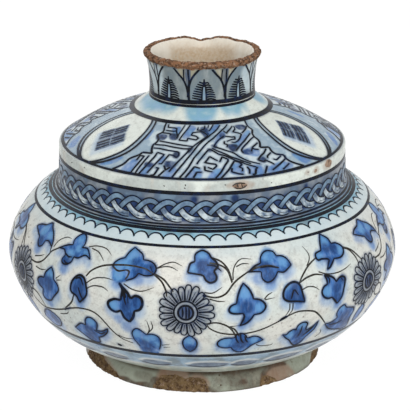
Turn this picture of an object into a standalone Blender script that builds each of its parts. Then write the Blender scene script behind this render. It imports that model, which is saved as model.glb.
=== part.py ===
"""Squat fritware vase with a stepped shoulder, built the way its potter built it.

Six sections are turned or moulded on their own and luted end to end with slip: a foot ring, the lower
bowl, the upper dome of the belly, an upright collar, a low cone with a square lip, and a neck whose top
edge was broken off long ago. A ring of slip fills each of the five joints and stands in a small bead
inside the vessel. Metres, +Z up, origin at the centre of the foot's resting plane, front towards -Y.
"""

import math

import bmesh
import bpy
from mathutils import Vector

# Driving sizes of the outer form
FOOT_RADIUS = 0.0610
FOOT_TOP_RADIUS = 0.0562
FOOT_HEIGHT = 0.0095
BELLY_RADIUS = 0.0995
BELLY_HEIGHT = 0.0580
SHOULDER_RADIUS = 0.0763
SHOULDER_HEIGHT = 0.0915
COLLAR_RADIUS = 0.0729
LIP_RADIUS = 0.0726
LIP_UNDERSIDE_HEIGHT = 0.1075
LIP_HEIGHT = 0.0068
CONE_TOP_RADIUS = 0.0346
CONE_TOP_HEIGHT = 0.1318
NECK_BASE_RADIUS = 0.0268
NECK_BASE_HEIGHT = 0.1374
NECK_WAIST_DEPTH = 0.0009
MOUTH_RADIUS = 0.0297
MOUTH_HEIGHT = 0.1605

# Slopes and fullness of the curves
UNDERSIDE_SLOPE = math.radians(17.0)
UNDERSIDE_REACH = 0.0355
BELLY_FULLNESS_BELOW = 0.0092
BELLY_FULLNESS_ABOVE = 0.0100
SHOULDER_SLOPE = math.radians(28.0)
SHOULDER_REACH = 0.0174
CONE_BULGE = 0.0024
LIP_ROUNDING = 0.0012
COLLAR_FLARE_HEIGHT = 0.0035

# Walls
FOOT_WALL = 0.0085
FOOT_INNER_BATTER = 0.0015
BODY_WALL = 0.0055
CONE_WALL = 0.0052
NECK_WALL = 0.0042
FLOOR_THICKNESS = 0.0065
FLOOR_DISH = 0.0015
JOINT_LAND = 0.0062

# Luted joints
SLIP_THICKNESS = 0.0006
CLEARANCE = 0.0003
BEAD_DEPTH = 0.0012
BEAD_HEIGHT = 0.0018

# Broken mouth: depth of the break's slope and how far its edge wanders up and down
BREAK_SLOPE = 0.0029
BREAK_WANDER = 0.0009
BREAK_WAVES = ((3, 0.45, 0.6), (5, 0.30, 2.1), (8, 0.25, 4.0))

SEGMENTS = 48
SMOOTH_ANGLE = math.radians(35.0)

HALF_SEAM = SLIP_THICKNESS / 2 + CLEARANCE


def material(name, colour, roughness):
    """A plain Principled material in the section's own colour."""
    made = bpy.data.materials.new(name)
    made.use_nodes = True
    shader = made.node_tree.nodes["Principled BSDF"]
    shader.inputs["Base Color"].default_value = (*colour, 1.0)
    shader.inputs["Roughness"].default_value = roughness
    shader.inputs["Metallic"].default_value = 0.0
    return made


def point(radius, height):
    """A point of a turned profile."""
    return Vector((radius, 0.0, height))


def curve(start, start_handle, end_handle, end, count):
    """Points along a cubic curve, both ends included."""
    made = []
    for step in range(count + 1):
        t = step / count
        s = 1.0 - t
        made.append(s**3 * start + 3 * s * s * t * start_handle + 3 * s * t * t * end_handle + t**3 * end)
    return made


def inward(points, wall):
    """The points moved off the outer curve, square to it, by the wall's thickness."""
    made = []
    for index, here in enumerate(points):
        before = points[max(index - 1, 0)]
        after = points[min(index + 1, len(points) - 1)]
        along = (after - before).normalized()
        made.append(here + Vector((-along.z, 0.0, along.x)) * wall)
    return made


def turned(name, profile, finish, closed=True):
    """One solid of revolution about the Z axis. An open profile starts and ends on the axis."""
    mesh = bmesh.new()
    corners = [mesh.verts.new(p) for p in profile]
    edges = [mesh.edges.new(pair) for pair in zip(corners, corners[1:])]
    if closed:
        edges.append(mesh.edges.new((corners[-1], corners[0])))
    bmesh.ops.spin(mesh, geom=corners + edges, axis=(0, 0, 1), cent=(0, 0, 0),
                   angle=2 * math.pi, steps=SEGMENTS, use_merge=True)
    bmesh.ops.remove_doubles(mesh, verts=mesh.verts, dist=1e-6)
    bmesh.ops.recalc_face_normals(mesh, faces=mesh.faces)
    data = bpy.data.meshes.new(name)
    mesh.to_mesh(data)
    mesh.free()
    data.shade_smooth()
    data.set_sharp_from_angle(angle=SMOOTH_ANGLE)
    data.materials.append(finish)
    made = bpy.data.objects.new(name, data)
    bpy.context.scene.collection.objects.link(made)
    return made


def walled(outer, wall, land_below, land_above):
    """A closed shell profile: the outer curve upwards, then the inner one downwards.

    The wall's two ends are level lands, as wide as given, which the joints are made on."""
    inner = inward(outer, wall)[1:-1]
    bottom = outer[0] - point(land_below, 0.0)
    top = outer[-1] - point(land_above, 0.0)
    inner = [p for p in inner if bottom.z < p.z < top.z]
    return [*outer, top, *reversed(inner), bottom]


def foot_ring(finish):
    """The splayed ring that the vase stands on, with a flat resting face."""
    top = FOOT_HEIGHT - HALF_SEAM
    rounding = point(FOOT_RADIUS - 0.3 * (FOOT_RADIUS - FOOT_TOP_RADIUS), top * 0.5)
    outer = curve(point(FOOT_RADIUS, 0.0), rounding, rounding, point(FOOT_TOP_RADIUS, top), 4)
    inner_radius = FOOT_RADIUS - FOOT_WALL
    profile = [*outer, point(FOOT_TOP_RADIUS - FOOT_WALL, top), point(inner_radius - FOOT_INNER_BATTER, 0.0)]
    return turned("foot_ring", profile, finish)


def lower_bowl(finish):
    """Floor, flat underside and rising wall, up to the joint at the widest line."""
    base = FOOT_HEIGHT + HALF_SEAM
    start = point(FOOT_TOP_RADIUS, base)
    end = point(BELLY_RADIUS, BELLY_HEIGHT - HALF_SEAM)
    slope = point(math.cos(UNDERSIDE_SLOPE), math.sin(UNDERSIDE_SLOPE))
    outer = curve(start, start + slope * UNDERSIDE_REACH, end - point(0.0, BELLY_FULLNESS_BELOW), end, 11)
    floor = base + FLOOR_THICKNESS
    rim = end - point(JOINT_LAND, 0.0)
    inner = [p for p in inward(outer, BODY_WALL)[1:-1] if floor < p.z < rim.z]
    floor_edge = point(FOOT_TOP_RADIUS, floor)
    profile = [point(0.0, base), *outer, rim, *reversed(inner), floor_edge, point(0.0, floor - FLOOR_DISH)]
    return turned("lower_bowl", profile, finish, closed=False)


def upper_dome(finish):
    """The belly's upper half, drawn in to the seat of the collar."""
    start = point(BELLY_RADIUS, BELLY_HEIGHT + HALF_SEAM)
    end = point(SHOULDER_RADIUS, SHOULDER_HEIGHT - HALF_SEAM)
    slope = point(math.cos(SHOULDER_SLOPE), -math.sin(SHOULDER_SLOPE))
    outer = curve(start, start + point(0.0, BELLY_FULLNESS_ABOVE), end + slope * SHOULDER_REACH, end, 9)
    return turned("upper_dome", walled(outer, BODY_WALL, JOINT_LAND, JOINT_LAND), finish)


def collar(finish):
    """The upright band between belly and cone, flared a little at its foot."""
    start = point(SHOULDER_RADIUS, SHOULDER_HEIGHT + HALF_SEAM)
    waist = point(COLLAR_RADIUS, start.z + COLLAR_FLARE_HEIGHT)
    end = point(LIP_RADIUS, LIP_UNDERSIDE_HEIGHT - HALF_SEAM)
    flare = curve(start, point(COLLAR_RADIUS + 0.0008, start.z + 0.0006), waist, waist, 3)
    outer = [*flare, (waist + end) / 2, end]
    inner_radius = SHOULDER_RADIUS - JOINT_LAND
    land_above = end.x - min(inner_radius, LIP_RADIUS - CONE_WALL)
    profile = [*outer, end - point(land_above, 0.0), point(inner_radius, start.z)]
    return turned("collar", profile, finish)


def cone(finish):
    """The low convex top with its square lip, up to the seat of the neck."""
    start = point(LIP_RADIUS, LIP_UNDERSIDE_HEIGHT + HALF_SEAM)
    lip_top = LIP_UNDERSIDE_HEIGHT + LIP_HEIGHT
    brow = point(LIP_RADIUS, lip_top - LIP_ROUNDING)
    edge = point(LIP_RADIUS - LIP_ROUNDING, lip_top)
    crown = point(CONE_TOP_RADIUS, CONE_TOP_HEIGHT)
    end = point(NECK_BASE_RADIUS, NECK_BASE_HEIGHT - HALF_SEAM)
    chord = crown - edge
    swell = Vector((chord.z, 0.0, -chord.x)).normalized() * CONE_BULGE
    back = curve(edge, edge + chord / 3 + swell, edge + chord * 2 / 3 + swell, crown, 8)
    sweep = point(NECK_BASE_RADIUS + 0.25 * (CONE_TOP_RADIUS - NECK_BASE_RADIUS), end.z - 0.0012)
    throat = curve(crown, (crown + sweep) / 2, sweep, end, 4)
    outer = [*back, *throat[1:]]
    underside = inward(outer, CONE_WALL)
    seat = end - point(NECK_WALL, 0.0)
    underside = [p for p in underside if seat.x < p.x < LIP_RADIUS - CONE_WALL and p.z > start.z]
    profile = [start, brow, *outer, seat, *reversed(underside), start - point(CONE_WALL, 0.0)]
    return turned("cone", profile, finish)


def break_height(angle):
    """How far the broken edge lies above its mean at an angle round the mouth."""
    return BREAK_WANDER * sum(share * math.sin(waves * angle + phase) for waves, share, phase in BREAK_WAVES)


def neck(finish):
    """The waisted neck. Its top is an old break that slopes outwards and wanders up and down."""
    start = point(NECK_BASE_RADIUS, NECK_BASE_HEIGHT + HALF_SEAM)
    break_foot = point(MOUTH_RADIUS - 0.0010, MOUTH_HEIGHT - BREAK_SLOPE)
    waist = point(NECK_BASE_RADIUS - NECK_WAIST_DEPTH, start.z + 0.35 * (break_foot.z - start.z))
    flare = point(NECK_BASE_RADIUS, break_foot.z - 0.3 * (break_foot.z - start.z))
    outer = curve(start, waist, flare, break_foot, 6)
    bore = [p - point(NECK_WALL, 0.0) for p in outer]
    roll = point(MOUTH_RADIUS, MOUTH_HEIGHT - BREAK_SLOPE * 0.55)
    crest = point(MOUTH_RADIUS - 0.55 * NECK_WALL, MOUTH_HEIGHT)
    inner_edge = point(MOUTH_RADIUS - NECK_WALL, MOUTH_HEIGHT - BREAK_SLOPE * 0.25)
    profile = [*outer, roll, crest, inner_edge, *reversed(bore)]
    made = turned("neck", profile, finish)
    for corner in made.data.vertices:
        share = (corner.co.z - break_foot.z) / (MOUTH_HEIGHT - break_foot.z)
        if share > 0:
            corner.co.z += share * break_height(math.atan2(corner.co.y, corner.co.x))
    return made


def slip_ring(name, outer_radius, height, land, finish, bead_rise=BEAD_HEIGHT / 2):
    """The slip squeezed into a joint: a web between the two lands and a bead standing inside.

    The bead rises above the joint's middle by the given height, which is less under a flat floor."""
    inner_radius = outer_radius - land
    web = SLIP_THICKNESS / 2
    bead_start = inner_radius - CLEARANCE
    profile = [
        point(outer_radius, height - web),
        point(outer_radius, height + web),
        point(bead_start, height + web),
        point(bead_start - BEAD_DEPTH / 2, height + bead_rise),
        point(bead_start - BEAD_DEPTH, height),
        point(bead_start - BEAD_DEPTH / 2, height - BEAD_HEIGHT / 2),
        point(bead_start, height - web),
    ]
    return turned(name, profile, finish)


def slip_rings(finish):
    """One ring of slip for each of the five luted joints."""
    slip_ring("foot_slip", FOOT_TOP_RADIUS, FOOT_HEIGHT, FOOT_WALL, finish, SLIP_THICKNESS / 2)
    slip_ring("belly_slip", BELLY_RADIUS, BELLY_HEIGHT, JOINT_LAND, finish)
    slip_ring("shoulder_slip", SHOULDER_RADIUS, SHOULDER_HEIGHT, JOINT_LAND, finish)
    slip_ring("lip_slip", LIP_RADIUS, LIP_UNDERSIDE_HEIGHT, CONE_WALL, finish)
    slip_ring("neck_slip", NECK_BASE_RADIUS, NECK_BASE_HEIGHT, NECK_WALL, finish)


def clear_scene():
    """Removes whatever the scene held before."""
    for old in list(bpy.data.objects):
        bpy.data.objects.remove(old)


def main():
    """Builds the six sections and the five rings of slip."""
    clear_scene()
    foot_glaze = material("worn_green_glaze", (0.42, 0.46, 0.38), 0.35)
    white_glaze = material("white_glaze", (0.78, 0.78, 0.72), 0.2)
    blue_glaze = material("blue_glaze", (0.28, 0.40, 0.58), 0.2)
    fritware = material("fritware_slip", (0.55, 0.42, 0.30), 0.8)
    foot_ring(foot_glaze)
    lower_bowl(white_glaze)
    upper_dome(white_glaze)
    collar(blue_glaze)
    cone(blue_glaze)
    neck(blue_glaze)
    slip_rings(fritware)


main()
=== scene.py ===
"""Looks for a squat blue-and-white vase: turned walls, brushed lines and washes, glaze and worn clay.

Painting is laid out flat first, in degrees round the vase from its front and in millimetres up the outer
profile. Node trees then wrap it round the wall, at a reference radius that each wall has."""

import math
from collections import namedtuple

import bpy
from bpy.types import Operator, Panel, PropertyGroup
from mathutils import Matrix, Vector


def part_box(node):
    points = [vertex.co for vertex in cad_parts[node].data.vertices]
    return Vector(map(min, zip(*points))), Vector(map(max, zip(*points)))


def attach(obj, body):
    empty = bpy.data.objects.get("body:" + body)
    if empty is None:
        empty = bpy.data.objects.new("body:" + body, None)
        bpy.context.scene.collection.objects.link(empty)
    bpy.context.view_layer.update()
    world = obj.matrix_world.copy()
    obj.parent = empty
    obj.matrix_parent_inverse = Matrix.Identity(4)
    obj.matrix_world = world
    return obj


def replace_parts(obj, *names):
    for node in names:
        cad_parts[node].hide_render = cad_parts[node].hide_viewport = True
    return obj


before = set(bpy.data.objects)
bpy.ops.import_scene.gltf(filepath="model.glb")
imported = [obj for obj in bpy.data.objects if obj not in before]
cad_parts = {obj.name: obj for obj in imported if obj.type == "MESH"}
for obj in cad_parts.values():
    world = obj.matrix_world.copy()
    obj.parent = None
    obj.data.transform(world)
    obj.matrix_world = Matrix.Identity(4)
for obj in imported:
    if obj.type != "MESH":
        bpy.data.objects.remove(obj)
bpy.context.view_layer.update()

bl_info = {
    "name": "Painted Vase",
    "version": (1, 0, 0),
    "blender": (4, 5, 0),
    "location": "View3D > Sidebar > Vase",
    "description": "Turns, glazes and paints a squat blue-and-white vase round its packed frame",
    "category": "Object",
}

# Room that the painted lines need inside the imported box
PAINT_ROOM = 0.0002
DEGREE = math.pi / 180.0
MM = 0.001

# Fullness of the curves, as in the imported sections
UNDERSIDE_SLOPE = math.radians(17.0)
UNDERSIDE_REACH = 0.0355
BELLY_FULLNESS_BELOW = 0.0092
BELLY_FULLNESS_ABOVE = 0.0100
SHOULDER_SLOPE = math.radians(28.0)
SHOULDER_REACH = 0.0174
CONE_BULGE = 0.0024
LIP_ROUNDING = 0.0012
COLLAR_FLARE_HEIGHT = 0.0035
COLLAR_FLARE_OUT = 0.0008
COLLAR_FLARE_UP = 0.0006
CONE_SWEEP_DROP = 0.0012
NECK_WAIST_DEPTH = 0.0009
BREAK_SLOPE = 0.0040
BREAK_SET_BACK = 0.0019
BREAK_FLANK = 0.0002
BREAK_BROW = 0.0010

# Walls, floor and foot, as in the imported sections
FOOT_WALL = 0.0085
FOOT_INNER_BATTER = 0.0015
JOINT_LAND = 0.0062
CONE_WALL = 0.0052
NECK_WALL = 0.0042
BODY_WALL = 0.0055
FLOOR_THICKNESS = 0.0065

# Vertices closer than this are one, where a wall meets itself at the back
SEAM_GAP = 0.00003

# A turned wall: its piece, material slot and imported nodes, its columns of vertices and its reference radius
Wall = namedtuple("Wall", "name slot nodes columns reference")
FOOT = Wall("foot", "foot_glaze", ("foot_ring", "foot_slip"), 480, 0.06)
BELLY = Wall("belly", "white_glaze", ("lower_bowl", "upper_dome", "belly_slip", "shoulder_slip"), 660, 0.1)
COLLAR = Wall("collar_wall", "blue_glaze", ("collar", "lip_slip"), 720, 0.0727)
CONE = Wall("cone_wall", "blue_glaze", ("cone",), 720, 0.06)
NECK = Wall("neck_wall", "blue_glaze", ("neck", "neck_slip"), 420, 0.028)


# Sizes and colours

def seam_height(below, above):
    """The height midway in the joint between two packed sections."""
    return (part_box(below)[1][2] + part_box(above)[0][2]) / 2


def outer_radius(node):
    """The radius of a packed section where it is widest."""
    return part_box(node)[1][0]


def metres(label, words, value):
    """A length that the panel shows, in metres."""
    return bpy.props.FloatProperty(name=label, description=words, unit="LENGTH", default=value)


def swatch(label, words, value):
    """A colour that the panel shows as a swatch, as linear red, green and blue."""
    return bpy.props.FloatVectorProperty(name=label, description=words, subtype="COLOR", size=3, min=0.0,
                                         max=1.0, default=value)


class VaseSizes(PropertyGroup):
    """The vessel's driving sizes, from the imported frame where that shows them."""

    foot_radius: metres("Foot radius", "Outside of the resting face", outer_radius("foot_ring"))
    foot_top_radius: metres("Foot top radius", "Where the foot meets the belly", outer_radius("foot_slip"))
    foot_height: metres("Foot height", "Height of the joint between foot and belly",
                        seam_height("foot_ring", "lower_bowl"))
    belly_radius: metres("Belly radius", "Radius at the widest line",
                         outer_radius("upper_dome") - PAINT_ROOM)
    belly_height: metres("Belly height", "Height of the widest line",
                         seam_height("lower_bowl", "upper_dome"))
    shoulder_radius: metres("Shoulder radius", "Seat of the collar", outer_radius("shoulder_slip"))
    shoulder_height: metres("Shoulder height", "Height of the collar's seat",
                            seam_height("upper_dome", "collar"))
    collar_radius: metres("Collar radius", "Radius above the collar's flared foot", 0.0729)
    lip_radius: metres("Lip radius", "Radius of the cone's upright lip", outer_radius("lip_slip"))
    lip_underside: metres("Lip underside", "Height where lip and collar meet", seam_height("collar", "cone"))
    lip_height: metres("Lip height", "Height of the plain band round the cone", 0.0068)
    cone_top_radius: metres("Cone top radius", "Where the cone turns up to the neck", 0.0346)
    cone_top_height: metres("Cone top height", "Height of that turn", 0.1318)
    neck_base_radius: metres("Neck base radius", "Radius at the foot of the neck", outer_radius("neck_slip"))
    neck_base_height: metres("Neck base height", "Height of the neck's foot", seam_height("cone", "neck"))
    mouth_radius: metres("Mouth radius", "Widest part of the broken edge", outer_radius("neck") + PAINT_ROOM)
    mouth_height: metres("Mouth height", "Mean height of the broken edge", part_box("neck")[1][2] - PAINT_ROOM)


class VaseColours(PropertyGroup):
    """Glaze, pigment and clay colours."""

    ground: swatch("Ground", "Off-white glaze over the pale body", (0.69, 0.685, 0.63))
    ground_cool: swatch("Cool ground", "Where the glaze lies thicker", (0.60, 0.65, 0.62))
    milk: swatch("Milk", "Whiter glaze of the cone", (0.70, 0.745, 0.69))
    cobalt: swatch("Cobalt", "Blue wash in the leaves", (0.040, 0.150, 0.43))
    cobalt_deep: swatch("Deep cobalt", "Pooled blue", (0.009, 0.034, 0.125))
    cobalt_thin: swatch("Thin cobalt", "Blue that ran below the outlines", (0.26, 0.41, 0.62))
    cerulean: swatch("Cerulean", "Light blue where a leaf's wash is thin", (0.13, 0.315, 0.56))
    turquoise: swatch("Turquoise", "Wash in the plain bands", (0.175, 0.385, 0.51))
    haze: swatch("Haze", "Palest blue of the bands", (0.57, 0.67, 0.70))
    lavender: swatch("Lavender", "Grey-blue wash between the cone's panels", (0.205, 0.315, 0.425))
    dusk: swatch("Dusk", "Darker grey-blue of the collar", (0.062, 0.099, 0.162))
    slate: swatch("Slate", "Grey-blue wash of rosettes and neck", (0.145, 0.190, 0.210))
    straw: swatch("Straw", "Beige spandrels of the neck", (0.34, 0.31, 0.21))
    strand: swatch("Strand", "Pale strands of fret and braid", (0.59, 0.67, 0.70))
    upper_strand: swatch("Upper strand", "Bluer strands of the braid", (0.105, 0.162, 0.25))
    line: swatch("Line", "Brushed outlines", (0.009, 0.010, 0.013))
    stem: swatch("Stem", "Thinner brown-black stems", (0.030, 0.024, 0.018))
    clay: swatch("Clay", "Bare broken body", (0.28, 0.14, 0.073))
    clay_gold: swatch("Golden clay", "Bare body of foot and chips", (0.245, 0.158, 0.076))
    clay_dark: swatch("Dark clay", "Dirt in the bare body", (0.075, 0.04, 0.024))
    stain: swatch("Stain", "Pale brown where the glaze wore thin", (0.37, 0.262, 0.19))
    cream: swatch("Cream", "Glaze inside the mouth", (0.60, 0.475, 0.335))
    # Whiter glaze just under the rim, and a painted highlight on the mouth's inner sides
    mouth_white_and_highlight: swatch("Mouth white", "Thicker glaze at the sides of the mouth", (0.84, 0.80, 0.71))
    foot_green: swatch("Foot green", "Thin grey-green glaze of the foot", (0.235, 0.245, 0.19))
    foot_pale: swatch("Foot pale", "Thicker glaze on the foot", (0.44, 0.47, 0.38))


def tint(name):
    """A colour that the user set, with full alpha."""
    return (*getattr(bpy.context.scene.vase_colours, name), 1.0)


# Profiles

def curve_points(start, start_handle, end_handle, end, count):
    """Points along a cubic curve, both ends included."""
    made = []
    for step in range(count + 1):
        t = step / count
        s = 1.0 - t
        made.append(s**3 * start + 3 * s * s * t * start_handle + 3 * s * t * t * end_handle + t**3 * end)
    return made


def line_points(start, end, count):
    """Points along a straight stretch, both ends included."""
    return [start.lerp(end, step / count) for step in range(count + 1)]


def inward(points, wall):
    """The points moved off an outer curve, square to it, by a wall's thickness."""
    made = []
    for index, here in enumerate(points):
        before = points[max(index - 1, 0)]
        after = points[min(index + 1, len(points) - 1)]
        along = (after - before).normalized()
        made.append(here + Vector((-along.y, along.x)) * wall)
    return made


def spot(radius, height):
    """A point of a turned profile."""
    return Vector((radius, height))


def foot_face(size):
    """Outside of the foot, upwards."""
    bend = spot(size.foot_radius - 0.3 * (size.foot_radius - size.foot_top_radius), size.foot_height * 0.5)
    top = spot(size.foot_top_radius, size.foot_height)
    return curve_points(spot(size.foot_radius, 0.0), bend, bend, top, 22)


def belly_face(size):
    """Outside of the belly, from the foot to the collar's seat."""
    start = spot(size.foot_top_radius, size.foot_height)
    wide = spot(size.belly_radius, size.belly_height)
    end = spot(size.shoulder_radius, size.shoulder_height)
    out = spot(math.cos(UNDERSIDE_SLOPE), math.sin(UNDERSIDE_SLOPE)) * UNDERSIDE_REACH
    low = curve_points(start, start + out, wide - spot(0, BELLY_FULLNESS_BELOW), wide, 66)
    down = spot(math.cos(SHOULDER_SLOPE), -math.sin(SHOULDER_SLOPE)) * SHOULDER_REACH
    high = curve_points(wide, wide + spot(0, BELLY_FULLNESS_ABOVE), end + down, end, 46)
    return low + high[1:]


def collar_face(size):
    """Outside of the collar, from its seat to the lip."""
    start = spot(size.shoulder_radius, size.shoulder_height)
    waist = spot(size.collar_radius, start.y + COLLAR_FLARE_HEIGHT)
    bend = spot(size.collar_radius + COLLAR_FLARE_OUT, start.y + COLLAR_FLARE_UP)
    flare = curve_points(start, bend, waist, waist, 8)
    return flare + line_points(waist, spot(size.lip_radius, size.lip_underside), 22)[1:]


def lip_face(size):
    """The plain upright band round the cone's edge, with a rounded brow."""
    top = size.lip_underside + size.lip_height
    foot = spot(size.lip_radius, size.lip_underside)
    brow = spot(size.lip_radius, top - LIP_ROUNDING)
    edge = spot(size.lip_radius - LIP_ROUNDING, top)
    corner = spot(size.lip_radius - 0.15 * LIP_ROUNDING, top - 0.15 * LIP_ROUNDING)
    return line_points(foot, brow, 10) + curve_points(brow, corner, corner, edge, 5)[1:]


def cone_face(size):
    """The cone's painted back and the plain ring that turns up to the neck."""
    edge = lip_face(size)[-1]
    crown = spot(size.cone_top_radius, size.cone_top_height)
    end = spot(size.neck_base_radius, size.neck_base_height)
    chord = crown - edge
    swell = Vector((chord.y, -chord.x)).normalized() * CONE_BULGE
    back = curve_points(edge, edge + chord / 3 + swell, edge + chord * 2 / 3 + swell, crown, 66)
    sweep = spot(end.x + 0.25 * (crown.x - end.x), end.y - CONE_SWEEP_DROP)
    return back + curve_points(crown, (crown + sweep) / 2, sweep, end, 14)[1:]


def neck_face(size):
    """Outside of the neck, up to the crest of the break."""
    start = spot(size.neck_base_radius, size.neck_base_height)
    foot = spot(size.mouth_radius - BREAK_SET_BACK, size.mouth_height - BREAK_SLOPE)
    waist = spot(start.x - NECK_WAIST_DEPTH, start.y + 0.35 * (foot.y - start.y))
    flare = spot(start.x, foot.y - 0.3 * (foot.y - start.y))
    wall = curve_points(start, waist, flare, foot, 34)
    flank = spot(size.mouth_radius + BREAK_FLANK, size.mouth_height - BREAK_SLOPE * 0.6)
    brow = spot(size.mouth_radius + BREAK_BROW, size.mouth_height)
    crest = spot(size.mouth_radius - 0.82 * NECK_WALL, size.mouth_height)
    return wall + curve_points(foot, flank, brow, crest, 12)[1:]


def length_of(points):
    """Length of a chain of points."""
    return sum((b - a).length for a, b in zip(points, points[1:]))


# Flat drawings

def smooth_run(points, steps=5):
    """A smooth chain through the points."""
    if len(points) < 3:
        return [Vector(p) for p in points]
    points = [Vector(p) for p in points]
    made = []
    for index in range(len(points) - 1):
        p1 = points[index]
        p2 = points[index + 1]
        p0 = points[index - 1] if index else p1 * 2 - p2
        p3 = points[index + 2] if index + 2 < len(points) else p2 * 2 - p1
        for step in range(steps):
            t = step / steps
            made.append(0.5 * (2 * p1 + (p2 - p0) * t + (2 * p0 - 5 * p1 + 4 * p2 - p3) * t * t
                               + (3 * p1 - p0 - 3 * p2 + p3) * t**3))
    made.append(points[-1])
    return made


# Marks on an outline's corners: a plain corner, and one after which the line is left out
C = "corner"
GAP = "gap"


def outline_runs(outline):
    """A closed outline cut at its corners into smooth runs, each with its first corner's mark."""
    corners = [index for index, p in enumerate(outline) if len(p) > 2]
    places = [Vector(p[:2]) for p in outline]
    if not corners:
        return [(smooth_run(places[-1:] + places + places[:2])[5:-5], C)]
    runs = []
    for first, last in zip(corners, corners[1:] + [corners[0] + len(places)]):
        run = smooth_run([places[index % len(places)] for index in range(first, last + 1)])
        runs.append((run, outline[first][2]))
    return runs


def flat(points, reference):
    """Degrees and millimetres laid out flat, in metres."""
    return [(p[0] * DEGREE * reference, p[1] * MM, 0.0) for p in points]


def degrees_per_mm(reference):
    """The angle that a millimetre takes up on a wall."""
    return MM / (reference * DEGREE)


class Drawing:
    """Brush strokes, closed shapes and round spots of one painted face."""

    def __init__(self):
        self.strokes = []
        self.fills = []
        self.spots = []

    def stroke(self, points, width, taper=(0.5, 1.0, 0.5), smooth=True):
        """One brush stroke. Taper gives the share of its width at its start, middle and end."""
        run = smooth_run(points) if smooth else points
        radii = []
        for index in range(len(run)):
            t = index / max(len(run) - 1, 1)
            side = taper[0] if t < 0.5 else taper[2]
            share = 1.0 - abs(2.0 * t - 1.0) ** 2
            radii.append(width * MM / 2 * (side + (taper[1] - side) * share))
        self.strokes.append((run, radii))

    def outline(self, points, width, taper=(1, 1, 1)):
        """A closed outline, one stroke from corner to corner."""
        for run, mark in outline_runs(points):
            if mark != GAP:
                self.stroke(run, width, taper, smooth=False)

    def ring(self, height, width, wobble, phase, tilt=0.0):
        """A line all round the vase at one height, drawn by hand on a wheel."""
        points = []
        for angle in range(-180, 181, 2):
            swing = math.sin(3 * angle * DEGREE + phase) + 0.6 * math.sin(7 * angle * DEGREE + 2 * phase)
            points.append((angle, height + wobble * swing + tilt * math.sin(angle * DEGREE)))
        self.stroke(points, width, (1, 1, 1), smooth=False)

    def curves(self, name, reference):
        """The strokes as one curve object, which a node tree reads."""
        return curve_object(name, [(flat(points, reference), radii) for points, radii in self.strokes])

    def mesh(self, name, reference, halo):
        """The strokes' middle lines for a halo, or else the shapes and spots, as one flat mesh object."""
        chains = [points for points, radii in self.strokes] if halo else list(self.fills)
        for angle, height, radius in [] if halo else self.spots:
            wide = radius * degrees_per_mm(reference)
            chains.append([(angle + wide * math.sin(turn), height + radius * math.cos(turn))
                           for turn in (math.pi * step / 5 for step in range(10))])
        corners, edges, faces = [], [], []
        for chain in chains:
            numbers = list(range(len(corners), len(corners) + len(chain)))
            corners += flat(chain, reference)
            if halo:
                edges += zip(numbers, numbers[1:])
            else:
                faces.append(numbers)
        data = bpy.data.meshes.new(name)
        data.from_pydata(corners, edges, faces)
        return linked_object(name, data)


def shapes(outlines=(), spots=(), bands=(), plain=()):
    """A drawing for a wash: smooth outlines, round spots, bands all round, and shapes kept as they are."""
    drawing = Drawing()
    drawing.spots = spots
    for points in outlines:
        drawing.fills.append([p for run, mark in outline_runs(points) for p in run[:-1]])
    for low, high in bands:
        bottom = [(angle, low) for angle in range(-190, 191, 10)]
        drawing.fills.append(bottom + [(angle, high) for angle, low in reversed(bottom)])
    drawing.fills += plain
    return drawing


def lines(groups=(), rings=()):
    """A drawing of brushed lines: groups of strokes with their width and taper, and rings."""
    drawing = Drawing()
    for strokes, width, taper in groups:
        for points in strokes:
            drawing.stroke(points, width, taper)
    for ring in rings:
        drawing.ring(*ring)
    return drawing


def shifted(points, angle, width=1.0):
    """Points widened and turned round the vase by an angle."""
    return [(p[0] * width + angle, *p[1:]) for p in points]


def linked_object(name, data):
    """An object at the origin, in the scene."""
    made = bpy.data.objects.new(name, data)
    bpy.context.scene.collection.objects.link(made)
    return made


def curve_object(name, chains):
    """Chains of points, with their radii, as one curve object."""
    data = bpy.data.curves.new(name, "CURVE")
    data.dimensions = "3D"
    for points, radii in chains:
        spline = data.splines.new("POLY")
        spline.points.add(len(points) - 1)
        for target, p, radius in zip(spline.points, points, radii):
            target.co = (*p, 1.0)
            target.radius = radius
    return linked_object(name, data)


def profile_object(name, points):
    """A turned profile as a curve: radius along X and height along Z."""
    return curve_object(name, [([(p.x, 0.0, p.y) for p in points], [1.0] * len(points))])


# Node trees

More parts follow.
